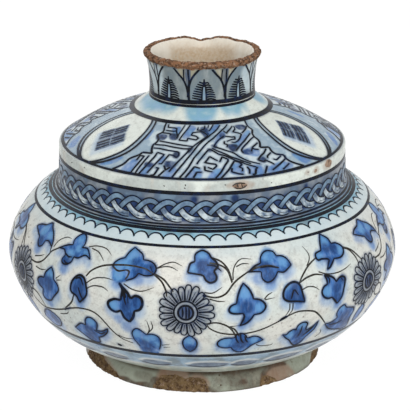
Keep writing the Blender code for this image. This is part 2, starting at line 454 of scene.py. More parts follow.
class Sketch:
    """Builds one node tree, by the names of nodes and of their inputs."""

    def __init__(self, tree):
        self.tree = tree

    def feed(self, socket, value):
        """Links a socket to another, or sets it to a plain value."""
        if isinstance(value, bpy.types.NodeSocket):
            self.tree.links.new(value, socket)
        else:
            socket.default_value = value

    def add(self, kind, inputs, out, settings):
        """A new node, and the one of its outputs that is asked for, or all of them."""
        node = self.tree.nodes.new(kind)
        for name, value in settings.items():
            setattr(node, name, value)
        for key, value in (inputs or {}).items():
            self.feed(node.inputs[key], value)
        return node.outputs if out is None else node.outputs[out]

    def geo(self, kind, inputs=None, out=0, **settings):
        """An output of a geometry node."""
        return self.add("GeometryNode" + kind, inputs, out, settings)

    def shade(self, kind, inputs=None, out=0, **settings):
        """An output of a shader node, or of one that both kinds of tree have."""
        return self.add("ShaderNode" + kind, inputs, out, settings)

    def math(self, operation, first, second=0.0, third=0.0):
        """The result of one arithmetic node."""
        return self.shade("Math", {0: first, 1: second, 2: third}, operation=operation)

    def product(self, first, *others):
        """Numbers multiplied together."""
        for other in others:
            first = self.math("MULTIPLY", first, other)
        return first

    def vector(self, operation, first, second):
        """The result of one vector node."""
        return self.shade("VectorMath", {0: first, 1: second}, operation=operation)

    def point(self, **parts):
        """A place made of its X, Y and Z."""
        return self.shade("CombineXYZ", parts)

    def parts(self, place):
        """The X, Y and Z of a place."""
        return self.shade("SeparateXYZ", {0: place}, None)

    def stretch(self, value, low, high, to_low=0.0, to_high=1.0):
        """A value stretched from one range to another, smoothly and held at its ends."""
        return self.shade("MapRange", {"Value": value, "From Min": low, "From Max": high, "To Min": to_low,
                                       "To Max": to_high}, interpolation_type="SMOOTHSTEP")

    def mix(self, share, first, second):
        """Two colours mixed by a share."""
        return self.shade("Mix", {0: share, 6: first, 7: second}, 2, data_type="RGBA")

    def spread(self):
        """The piece's own coordinates."""
        return self.shade("TexCoord", out="Object")

    def noise(self, scale, detail=3.0, roughness=0.55, where=None):
        """A noise over the piece's own coordinates, in waves per metre."""
        inputs = {"Scale": scale, "Detail": detail, "Roughness": roughness, "Vector": where or self.spread()}
        return self.shade("TexNoise", inputs)

    def placed(self, name, inputs):
        """The outputs of a shared shader group."""
        return self.shade("Group", inputs, None, node_tree=group_named(name))

    def mask(self, name):
        """A number stored on the piece, in a material."""
        return self.shade("Attribute", out="Fac", attribute_name=name)

    def stored(self, name):
        """A number stored on the points, in a geometry tree."""
        return self.geo("InputNamedAttribute", {"Name": name}, data_type="FLOAT")

    def store(self, geometry, name, value):
        """The geometry with a number stored on its points."""
        return self.geo("StoreNamedAttribute", {"Geometry": geometry, "Name": name, "Value": value},
                        data_type="FLOAT", domain="POINT")

    def shape_of(self, source):
        """The geometry of an object."""
        return self.geo("ObjectInfo", {"Object": source}, "Geometry")

    def done(self, results):
        """The tree, with its outputs linked."""
        ends = self.tree.nodes.new("NodeGroupOutput").inputs
        for label, value in results.items():
            self.tree.links.new(value, ends[label])
        return self.tree


def new_group(name, kind, inputs, outputs):
    """The sketch and the inputs of an empty node group, whose sockets are named by kind."""
    tree = bpy.data.node_groups.new(name, kind)
    for way, sockets in (("INPUT", inputs), ("OUTPUT", outputs)):
        for socket, labels in sockets.items():
            for label in labels:
                tree.interface.new_socket(label, in_out=way, socket_type="NodeSocket" + socket)
    return Sketch(tree), tree.nodes.new("NodeGroupInput").outputs


def new_tree(name, inputs):
    """The sketch and the inputs of an empty geometry tree."""
    geometry = {"Geometry": ["Geometry"]}
    return new_group(name, "GeometryNodeTree", geometry | inputs, geometry)


def wrapped(sketch, angle, radius, height):
    """The place in space at an angle, a radius and a height. Angle 0 is the front."""
    across = sketch.product(radius, sketch.math("SINE", angle))
    return sketch.point(X=across, Y=sketch.product(radius, sketch.math("COSINE", angle), -1.0), Z=height)


def repeated(sketch, geometry, given):
    """Flat geometry copied side by side, and made real."""
    start = sketch.point(X=given["First"])
    step = sketch.point(X=given["Pitch"])
    places = sketch.geo("MeshLine", {"Count": given["Count"], "Start Location": start, "Offset": step},
                        mode="OFFSET", count_mode="TOTAL")
    copies = sketch.geo("InstanceOnPoints", {"Points": places, "Instance": geometry})
    return sketch.geo("RealizeInstances", {"Geometry": copies})


def finished(sketch, geometry, given):
    """The tree, ending in real geometry with its material."""
    real = sketch.geo("RealizeInstances", {"Geometry": geometry})
    real = sketch.geo("SetMaterial", {"Geometry": real, "Material": given["Material"]})
    return sketch.done({"Geometry": real})


def turned_wall_tree(name):
    """A wall turned round the axis, with a row for each point of its profile."""
    sketch, given = new_tree(name, {
        "Object": ["Profile"], "Int": ["Columns"], "Material": ["Material"],
        "Float": ["Reference", "Start"]})
    profile = sketch.shape_of(given["Profile"])
    rows = sketch.geo("AttributeDomainSize", {"Geometry": profile}, component="CURVE")
    grid = sketch.geo("MeshGrid", {"Size X": 1.0, "Size Y": 1.0, "Vertices Y": rows,
                                   "Vertices X": sketch.math("ADD", given["Columns"], 1.0)})
    position = sketch.geo("InputPosition")
    place = sketch.parts(position)
    angle = sketch.product(place["X"], 2 * math.pi)
    row = sketch.product(sketch.math("ADD", place["Y"], 0.5), sketch.math("SUBTRACT", rows, 1.0))
    at_row = {"Geometry": profile, "Index": sketch.math("ROUND", row)}
    outer = sketch.parts(sketch.geo("SampleIndex", at_row | {"Value": position}, data_type="FLOAT_VECTOR"))
    length = sketch.geo("SampleIndex", at_row | {"Value": sketch.geo("SplineParameter", out="Length")})
    wall = sketch.store(grid, "turn", sketch.product(angle, given["Reference"]))
    wall = sketch.store(wall, "rise", sketch.math("SUBTRACT", length, given["Start"]))
    spots = wrapped(sketch, angle, outer["X"], outer["Z"])
    return finished(sketch, sketch.geo("SetPosition", {"Geometry": wall, "Position": spots}), given)


def soak_tree(name):
    """Stores how much pigment lies on each point: full on what is drawn, fading out beside it."""
    sketch, given = new_tree(name, {
        "Object": ["Drawn"], "String": ["Name"], "Int": ["Count"], "Material": ["Material"],
        "Float": ["Softness", "Drop", "First", "Pitch"]})
    drawn = repeated(sketch, sketch.shape_of(given["Drawn"]), given)
    height = sketch.math("ADD", sketch.stored("rise"), given["Drop"])
    place = sketch.point(X=sketch.stored("turn"), Y=height)
    element = "EDGES" if name == "Line Halo" else "FACES"
    distance = sketch.geo("Proximity", {0: drawn, 2: place}, "Distance", target_element=element)
    share = sketch.stretch(distance, 0.0, given["Softness"], 1.0, 0.0)
    return finished(sketch, sketch.store(given["Geometry"], given["Name"], share), given)


def worn_clay_tree(name):
    """Wears a wall where a mask asks for it: eats into it by a noise and sinks it, not below the floor."""
    sketch, given = new_tree(name, {
        "String": ["Name"], "Material": ["Material"], "Float": ["Depth", "Grain", "Sink"]})
    bare = sketch.stored(given["Name"])
    noise = sketch.shade("TexNoise", {"Scale": given["Grain"], "Detail": 3.0, "Roughness": 0.65})
    swing = sketch.math("MINIMUM", sketch.math("SUBTRACT", noise, 0.62), 0.0)
    depth = sketch.product(swing, given["Depth"], bare)
    push = sketch.shade("VectorMath", {0: sketch.geo("InputNormal"), "Scale": depth}, operation="SCALE")
    sunk = sketch.point(Z=sketch.product(given["Sink"], bare, -1.0))
    place = sketch.vector("ADD", sketch.geo("InputPosition"), sketch.vector("ADD", push, sunk))
    place = sketch.vector("MAXIMUM", place, (-1.0, -1.0, 0.0))
    worn = sketch.geo("SetPosition", {"Geometry": given["Geometry"], "Position": place})
    return finished(sketch, worn, given)


def brush_tree(name):
    """Wraps flat brush strokes round a face as thin ribbons."""
    sketch, given = new_tree(name, {
        "Object": ["Strokes", "Face"], "Int": ["Across", "Count"], "Material": ["Material"],
        "Float": ["Reference", "Step", "Lift", "End Lift", "First", "Pitch"]})
    strokes = sketch.shape_of(given["Strokes"])
    strokes = sketch.geo("ResampleCurve", {"Curve": strokes, "Length": given["Step"]}, mode="LENGTH")
    strokes = sketch.store(strokes, "along", sketch.geo("SplineParameter"))
    strokes = sketch.geo("SetCurveNormal", {"Curve": repeated(sketch, strokes, given)}, mode="Z_UP")
    bar = sketch.geo("CurvePrimitiveLine", {"Start": (-1.0, 0.0, 0.0), "End": (1.0, 0.0, 0.0)})
    bar = sketch.geo("ResampleCurve", {"Curve": bar, "Count": given["Across"]}, mode="COUNT")
    half = sketch.geo("InputRadius")
    ribbon = sketch.geo("CurveToMesh", {"Curve": strokes, "Profile Curve": bar, "Scale": half})
    place = sketch.parts(sketch.geo("InputPosition"))
    face = sketch.shape_of(given["Face"])
    on_face = sketch.geo("SampleCurve", {"Curves": face, "Length": place["Y"]}, None, mode="LENGTH",
                         use_all_curves=True)
    foot = sketch.parts(on_face["Position"])
    tangent = sketch.parts(on_face["Tangent"])
    fall = sketch.product(sketch.math("SUBTRACT", given["End Lift"], given["Lift"]), sketch.stored("along"))
    lift = sketch.math("ADD", given["Lift"], fall)
    spots = wrapped(sketch, sketch.math("DIVIDE", place["X"], given["Reference"]),
                    sketch.math("ADD", foot["X"], sketch.product(tangent["Z"], lift)),
                    sketch.math("SUBTRACT", foot["Z"], sketch.product(tangent["X"], lift)))
    return finished(sketch, sketch.geo("SetPosition", {"Geometry": ribbon, "Position": spots}), given)


# Shader groups

# How brush streaks stretch a noise upwards, and the washes that were poured and show none
STREAK = 0.3
POURED = ("dusk", "inside", "smudge", "base", "mist", "pale")


def ground_group(name):
    """Glaze over a pale body: slow and quick shifts of tint, small brown specks and pinholes."""
    sketch, given = new_group(name, "ShaderNodeTree", {
        "Color": ["Colour", "Cool", "Speck"], "Float": ["Specks", "Drift"]},
        {"Color": ["Colour"], "Float": ["Height", "Roughness"]})
    slow = sketch.stretch(sketch.noise(given["Drift"]), 0.35, 0.68)
    cloud = sketch.stretch(sketch.noise(230.0, 5.0, 0.7), 0.44, 0.76, 0.0, 0.5)
    dust = sketch.stretch(sketch.noise(800.0, 3.0, 0.7), 0.50, 0.76, 0.0, 0.45)
    holes = sketch.shade("TexVoronoi", {"Vector": sketch.spread(), "Scale": 260.0, "Randomness": 1.0})
    patches = sketch.stretch(sketch.noise(60.0, 1.0), 0.45, 0.68)
    pit = sketch.product(sketch.stretch(holes, 0.19, 0.06), patches, given["Specks"])
    colour = sketch.mix(slow, given["Colour"], given["Cool"])
    for share in (sketch.product(cloud, given["Specks"]), sketch.product(dust, given["Specks"]), pit):
        colour = sketch.mix(share, colour, given["Speck"])
    height = sketch.math("SUBTRACT", sketch.product(sketch.noise(620.0, 2.0), 0.35), pit)
    roughness = sketch.math("MULTIPLY_ADD", slow, 0.08, 0.2)
    return sketch.done({"Colour": colour, "Height": height, "Roughness": roughness})


def wash_group(name):
    """A pigment wash: mottled, deeper where it pools, over whatever lies under it."""
    sketch, given = new_group(name, "ShaderNodeTree", {
        "Color": ["Under", "Wash", "Deep"], "Float": ["Mask", "Strength", "Pooling", "Grain", "Streak"]},
        {"Color": ["Colour"]})
    where = sketch.vector("MULTIPLY", sketch.spread(), sketch.point(X=1.0, Y=1.0, Z=given["Streak"]))
    mottle = sketch.noise(given["Grain"], 4.0, 0.6, where)
    pool = sketch.product(sketch.stretch(mottle, 0.47, 0.66), given["Pooling"])
    pigment = sketch.mix(pool, given["Wash"], given["Deep"])
    thin = sketch.stretch(mottle, 0.28, 0.56, 0.62, 1.0)
    share = sketch.math("MINIMUM", sketch.product(given["Mask"], given["Strength"], thin), 1.0)
    return sketch.done({"Colour": sketch.mix(share, given["Under"], pigment)})


def bare_clay_group(name):
    """Bare, dirty clay where the glaze has gone."""
    sketch, given = new_group(name, "ShaderNodeTree", {
        "Color": ["Under", "Clay", "Dirt", "Crumb"], "Float": ["Mask", "Grit", "Grain"]},
        {"Color": ["Colour"], "Float": ["Share", "Height"]})
    grain = sketch.noise(given["Grain"], 6.0, 0.75)
    patch = sketch.math("SUBTRACT", sketch.noise(190.0, 5.0, 0.7), 0.5)
    edge = sketch.math("MULTIPLY_ADD", patch, 1.6, given["Mask"])
    edge = sketch.math("ADD", sketch.math("SUBTRACT", grain, 0.5), edge)
    share = sketch.product(sketch.stretch(edge, 0.30, 0.66), sketch.stretch(given["Mask"], 0.02, 0.2))
    dirt = sketch.product(sketch.stretch(grain, 0.58, 0.39), given["Grit"])
    crumbs = sketch.product(sketch.stretch(sketch.noise(800.0), 0.54, 0.68, 0.0, 0.8), given["Grit"])
    clay = sketch.mix(dirt, given["Clay"], given["Dirt"])
    clay = sketch.mix(crumbs, clay, given["Crumb"])
    clay = sketch.mix(sketch.stretch(edge, 1.0, 0.4, 0.0, 0.25), clay, given["Dirt"])
    return sketch.done({"Colour": sketch.mix(share, given["Under"], clay), "Share": share,
                        "Height": sketch.product(sketch.math("SUBTRACT", grain, 0.6), share)})


GROUP_MAKERS = {
    "Turned Wall": turned_wall_tree, "Soaked Wash": soak_tree, "Line Halo": soak_tree,
    "Worn Clay": worn_clay_tree, "Brushed Lines": brush_tree, "Glaze Ground": ground_group,
    "Pigment Wash": wash_group, "Bare Clay": bare_clay_group}


def group_named(name):
    """A node group, built the first time that it is asked for."""
    return bpy.data.node_groups.get(name) or GROUP_MAKERS[name](name)


# Materials

# Specular level, and depth and strength of the bump: of the glaze, and of the pigment brushed under it
GLAZE_SKIN = (0.14, 0.0001, 0.6)
LINE_SKIN = (0.06, 0.00005, 0.4)
LINE_ROUGHNESS = 0.3

# How much deeper the grain of bare clay is than the glaze's, and how much rougher it is
CLAY_DEPTH = 10.0
CLAY_ROUGHNESS = 0.6


def new_material(name):
    """A material with only a Principled shader, its sketch and the shader."""
    made = bpy.data.materials.new(name)
    made.use_nodes = True
    return made, Sketch(made.node_tree), made.node_tree.nodes["Principled BSDF"]


def dress(sketch, shader, colour, roughness, height, skin):
    """Feeds a shader its colour, roughness, specular level and bump."""
    gloss, distance, strength = skin
    bump = sketch.shade("Bump", {"Height": height, "Distance": distance, "Strength": strength})
    for label, value in (("Base Color", colour), ("Roughness", roughness), ("Specular IOR Level", gloss),
                         ("Normal", bump)):
        sketch.feed(shader.inputs[label], value)


def glaze_material(name, washes, bare=None, specks=0.7, ground="ground", cool="ground_cool", clay="clay",
                   drift=28.0, grit=0.7, grain=320.0):
    """Glossy glaze over a stack of washes, and bare clay where a mask asks for it."""
    made, sketch, shader = new_material(name)
    base = sketch.placed("Glaze Ground", {
        "Colour": tint(ground), "Cool": tint(cool), "Speck": tint("clay_dark"), "Specks": specks,
        "Drift": drift})
    colour, height, roughness = base["Colour"], base["Height"], base["Roughness"]
    for wash in washes:
        if wash.colour:
            colour = sketch.placed("Pigment Wash", {
                "Under": colour, "Wash": tint(wash.colour), "Deep": tint(wash.deep),
                "Mask": sketch.mask(wash.label), "Strength": wash.strength, "Pooling": wash.pooling,
                "Grain": wash.mottle, "Streak": 1.0 if wash.label in POURED else STREAK})["Colour"]
    if bare:
        body = sketch.placed("Bare Clay", {
            "Under": colour, "Clay": tint(clay), "Dirt": tint("clay_dark"), "Crumb": tint("stain"),
            "Mask": sketch.mask(bare), "Grit": grit, "Grain": grain})
        colour = body["Colour"]
        height = sketch.math("MULTIPLY_ADD", body["Height"], CLAY_DEPTH, height)
        roughness = sketch.math("MULTIPLY_ADD", body["Share"], CLAY_ROUGHNESS, roughness)
    dress(sketch, shader, colour, roughness, height, GLAZE_SKIN)
    return made


def line_material(name, dark, pale, pale_share):
    """Brushed pigment under the glaze, dark, with thinner places. It is made once."""
    if name in bpy.data.materials:
        return bpy.data.materials[name]
    made, sketch, shader = new_material(name)
    thin = sketch.stretch(sketch.noise(330.0, 4.0, 0.65), 0.45, 0.75, 0.0, pale_share)
    colour = sketch.mix(thin, tint(dark), tint(pale))
    dress(sketch, shader, colour, LINE_ROUGHNESS, sketch.noise(620.0, 2.0), LINE_SKIN)
    return made


def outline_pigment():
    """Black-blue pigment of outlines and rings."""
    return line_material("outline_pigment", "line", "cobalt_deep", 0.45)


def stem_pigment():
    """Thinner, browner pigment of stems and pits."""
    return line_material("stem_pigment", "stem", "slate", 0.35)


def strand_material(name, pale, mottle, edge):
    """Painted strands of the braid, mottled, and darker towards their ends."""
    made, sketch, shader = new_material(name)
    off_middle = sketch.math("ABSOLUTE", sketch.math("SUBTRACT", sketch.mask("along"), 0.5))
    cloud = sketch.stretch(sketch.noise(260.0, 4.0, 0.6), 0.34, 0.68)
    colour = sketch.mix(cloud, tint(pale), tint(mottle))
    colour = sketch.mix(sketch.stretch(off_middle, 0.22, 0.5, 0.0, 0.6), colour, tint(edge))
    dress(sketch, shader, colour, LINE_ROUGHNESS, sketch.noise(620.0, 2.0), LINE_SKIN)
    return made


# Making pieces

# A wash: its label, its drawing and how far it fades out in millimetres; its colour and the one it pools to,
# its strength, its pooling and its mottle in waves per metre; how often it is repeated round the vase, and
# how far it ran down. One without a colour is only a mask.
Wash = namedtuple("Wash", "label drawing softness colour deep strength pooling mottle repeats drop",
                  defaults=(None, None, 0.0, 0.0, 0.0, 1, 0.0))

# Copies of a repeated wash past the back seam, where it fades across it
SPARE_COPIES = 2


def add_tree(target, name, values):
    """A tree on an object, with its named inputs set by their identifiers."""
    modifier = target.modifiers.new(name, "NODES")
    modifier.node_group = group_named(name)
    sockets = modifier.node_group.interface.items_tree
    identifiers = {item.name: item.identifier for item in sockets if item.in_out == "INPUT"}
    for label, value in values.items():
        modifier[identifiers[label]] = value


def repeat_values(count, reference, spare=0):
    """Inputs that set a motif so many times round the vase, with spare copies shared by its two ends."""
    pitch = 2 * math.pi * reference / count
    first = -pitch * ((count + spare) // 2) if spare else 0.0
    return {"Count": count + spare, "First": first, "Pitch": pitch}


def empty_piece(name):
    """A mesh object at the origin, for a tree to fill."""
    return linked_object(name, bpy.data.meshes.new(name))


def settled(piece, helpers):
    """The piece as a plain, smooth mesh on the vase's one body, with its trees applied."""
    bpy.context.view_layer.update()
    graph = bpy.context.evaluated_depsgraph_get()
    mesh = bpy.data.meshes.new_from_object(piece.evaluated_get(graph))
    piece.modifiers.clear()
    piece.data = mesh
    mesh.name = piece.name
    mesh.shade_smooth()
    for helper in helpers:
        bpy.data.objects.remove(helper)
    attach(piece, "root")
    return piece


def turned_piece(wall, profile, face_start, washes, wear=(), **look):
    """A turned wall, washed, glazed and worn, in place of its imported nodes.

    A row of wear holds a mask, how deep a noise eats there, its grain, and how far the wall sinks."""
    piece = empty_piece(wall.name)
    helpers = [profile_object(wall.name + "_profile", profile)]
    finish = glaze_material(wall.name.split("_")[0] + "_glaze", washes, **look)
    add_tree(piece, "Turned Wall", {"Profile": helpers[0], "Columns": wall.columns, "Start": face_start,
                                    "Reference": wall.reference, "Material": finish})
    for wash in washes:
        halo = wash.label.startswith("halo")
        drawn = wash.drawing.mesh(wall.name + "_" + wash.label, wall.reference, halo)
        helpers.append(drawn)
        spare = SPARE_COPIES if wash.repeats > 1 else 0
        add_tree(piece, "Line Halo" if halo else "Soaked Wash", {
            "Drawn": drawn, "Name": wash.label, "Softness": wash.softness * MM, "Drop": wash.drop * MM,
            "Material": finish, **repeat_values(wash.repeats, wall.reference, spare)})
    for label, depth, grain, sink in wear:
        add_tree(piece, "Worn Clay", {"Name": label, "Depth": depth * MM, "Grain": grain, "Sink": sink * MM,
                                      "Material": finish})
    weld = piece.modifiers.new("Seam", "WELD")
    weld.merge_threshold = SEAM_GAP
    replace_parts(settled(piece, helpers), *wall.nodes)


def brushed_piece(wall, name, drawing, face, finish, repeats=1, lift=0.05, across=3, fall=0.0, step=0.6):
    """Brush strokes wrapped round a face. Lift, its fall along a stroke, and step are in millimetres."""
    piece = empty_piece(name)
    helpers = [drawing.curves(name + "_strokes", wall.reference), profile_object(name + "_face", face)]
    add_tree(piece, "Brushed Lines", {
        "Strokes": helpers[0], "Face": helpers[1], "Reference": wall.reference, "Step": step * MM,
        "Across": across, "Lift": lift * MM, "End Lift": (lift - fall) * MM, "Material": finish,
        **repeat_values(repeats, wall.reference)})
    settled(piece, helpers)


# Foot

# Where the foot's glaze has gone, where it has browned or paled, where it is darker in patches, and where dirt
# holds
FOOT_BARE = [
    [(-21, -3), (-20.8, 4.4), (-18, 6.2), (-12, 6.6), (-8, 5.4), (-5, 6.2), (-1, 6), (1, 4), (1.6, 1),
     (2, -3)], [(-76, -3), (-73, 6), (-64, 6.4), (-57, 4.4), (-50, 2.2), (-45, 0.4), (-44, -3)], [(29.8, -3),
     (30.6, 2.4), (33, 3.6), (35.6, 2), (37, 0.4), (38, -3)], [(66, -3), (70, 2.2), (79, 2.6), (84, -3)]]
FOOT_STAINS = [
    [(31, -3), (32.4, 4), (36, 7), (41, 7.8), (45, 7), (48, 3.6), (49, -3)], [(-21, 5), (-20.6, 10),
     (-14, 11.4), (-9, 10), (-8, 6), (-14, 5)], [(-6, 4), (-4.6, 7.4), (-1, 7.6), (2, 5.6), (1.6, 3)],
    [(-79, -3), (-75, 8), (-62, 7.6), (-52, 4.6), (-45, 1), (-42, -3)]]
FOOT_PALE = [
    [(-56, 6.6), (-48, 8.6), (-34, 8.8), (-24, 8.2), (-25.6, 3), (-34, 2), (-44, 2.4)], [(52, 3), (54, 7.6),
     (62, 7.6), (64, 4), (57, 2)]]
FOOT_DARK_PATCHES = [
    [(8, 6), (12, 8.6), (20, 9), (28.6, 8), (28.6, 3), (24, 1), (19, 3), (14, 4.2)], [(-34, 5), (-30, 6.6),
     (-26, 6), (-27, 4)]]
FOOT_GRIME = [
    [(29.4, -3), (29.8, 4.6), (33, 8), (38, 9.4), (43.6, 9), (46.4, 7.2), (42, 8), (37, 8), (33, 6), (31, 2),
     (30.8, -3)], [(-47, -3), (-44, 0.7), (-39, 1.9), (-34, 0.8), (-28, 2), (-23, 1.4), (-20, -3)],
    [(-25, 1), (-24.8, 4.8), (-22.4, 5.4), (-20.8, 3.6), (-21, 1)], [(2, 0.8), (3, 2.6), (5.6, 0.6),
     (9, -1)], [(18.4, 3.6), (19.4, 4.8), (21, 4.4), (21.4, 3.2)]]

# Angle, half width and height of worn patches on the unseen side. The one over the back seam is there twice.
FOOT_BACK_PATCHES = ((122, 10, 5), (160, 6, 3), (-164, 13, 6), (196, 13, 6), (-128, 8, 4), (-104, 9, 5))


def foot_back(spread):
    """Worn patches of the unseen side, wider and higher by a share."""
    corners = ((-spread, None), (-0.7, 0.8), (0, 1), (0.7, 0.5), (spread, None))
    return [[(angle + across * width, -3 if up is None else up * spread * height) for across, up in corners]
            for angle, width, height in FOOT_BACK_PATCHES]


class VASE_OT_foot(Operator):
    """Turns the worn foot ring"""

    bl_idname = "vase.foot"
    bl_label = "Foot"

    def execute(self, context):
        size = context.scene.vase_sizes
        outer = foot_face(size)
        inner_top = spot(size.foot_top_radius - FOOT_WALL, size.foot_height)
        inner_low = spot(size.foot_radius - FOOT_WALL - FOOT_INNER_BATTER, 0.0)
        under = line_points(inner_low, outer[0], 8)
        washes = [
            Wash("pale", shapes(FOOT_PALE), 2.6, "foot_pale", "foot_green", 0.9, 0.5, 200.0),
            Wash("rust", shapes(FOOT_DARK_PATCHES), 2.4, "clay_dark", "stain", 0.38, 0.4, 240.0),
            # Painted shade: a dark band at the top of the foot, under the belly's overhang
            Wash("shade", shapes(bands=[(9.6, 14.0)]), 2.2, "clay_dark", "foot_green", 0.9, 0.4, 160.0),
            Wash("stain", shapes(FOOT_STAINS + foot_back(1.4)), 2.4, "stain", "clay", 0.95, 0.4, 260.0),
            Wash("grime", shapes(FOOT_GRIME, bands=[(-3, -0.2)]), 1.2, "clay_dark", "clay", 0.85, 0.3, 300),
            Wash("bare", shapes(FOOT_BARE + foot_back(1.0)), 2.8)]
        wear = [("stain", 1.2, 240.0, 0.0), ("bare", 1.4, 330.0, 0.0)]
        profile = under + outer[1:] + line_points(inner_top, inner_low, 6)
        turned_piece(FOOT, profile, length_of(under), washes, wear, bare="bare", ground="foot_green",
                     cool="foot_pale", clay="clay_gold", specks=1.0, drift=70.0, grit=0.9, grain=450.0)
        return {"FINISHED"}


# Belly

SCROLL_REPEATS = 3
SCALLOPS = 69
ROSETTES = (-64.5, -4.5)
ROSETTE_HEIGHT = 68.5
ROSETTE_RADIUS = 13.2
ROSETTE_PETALS = 20

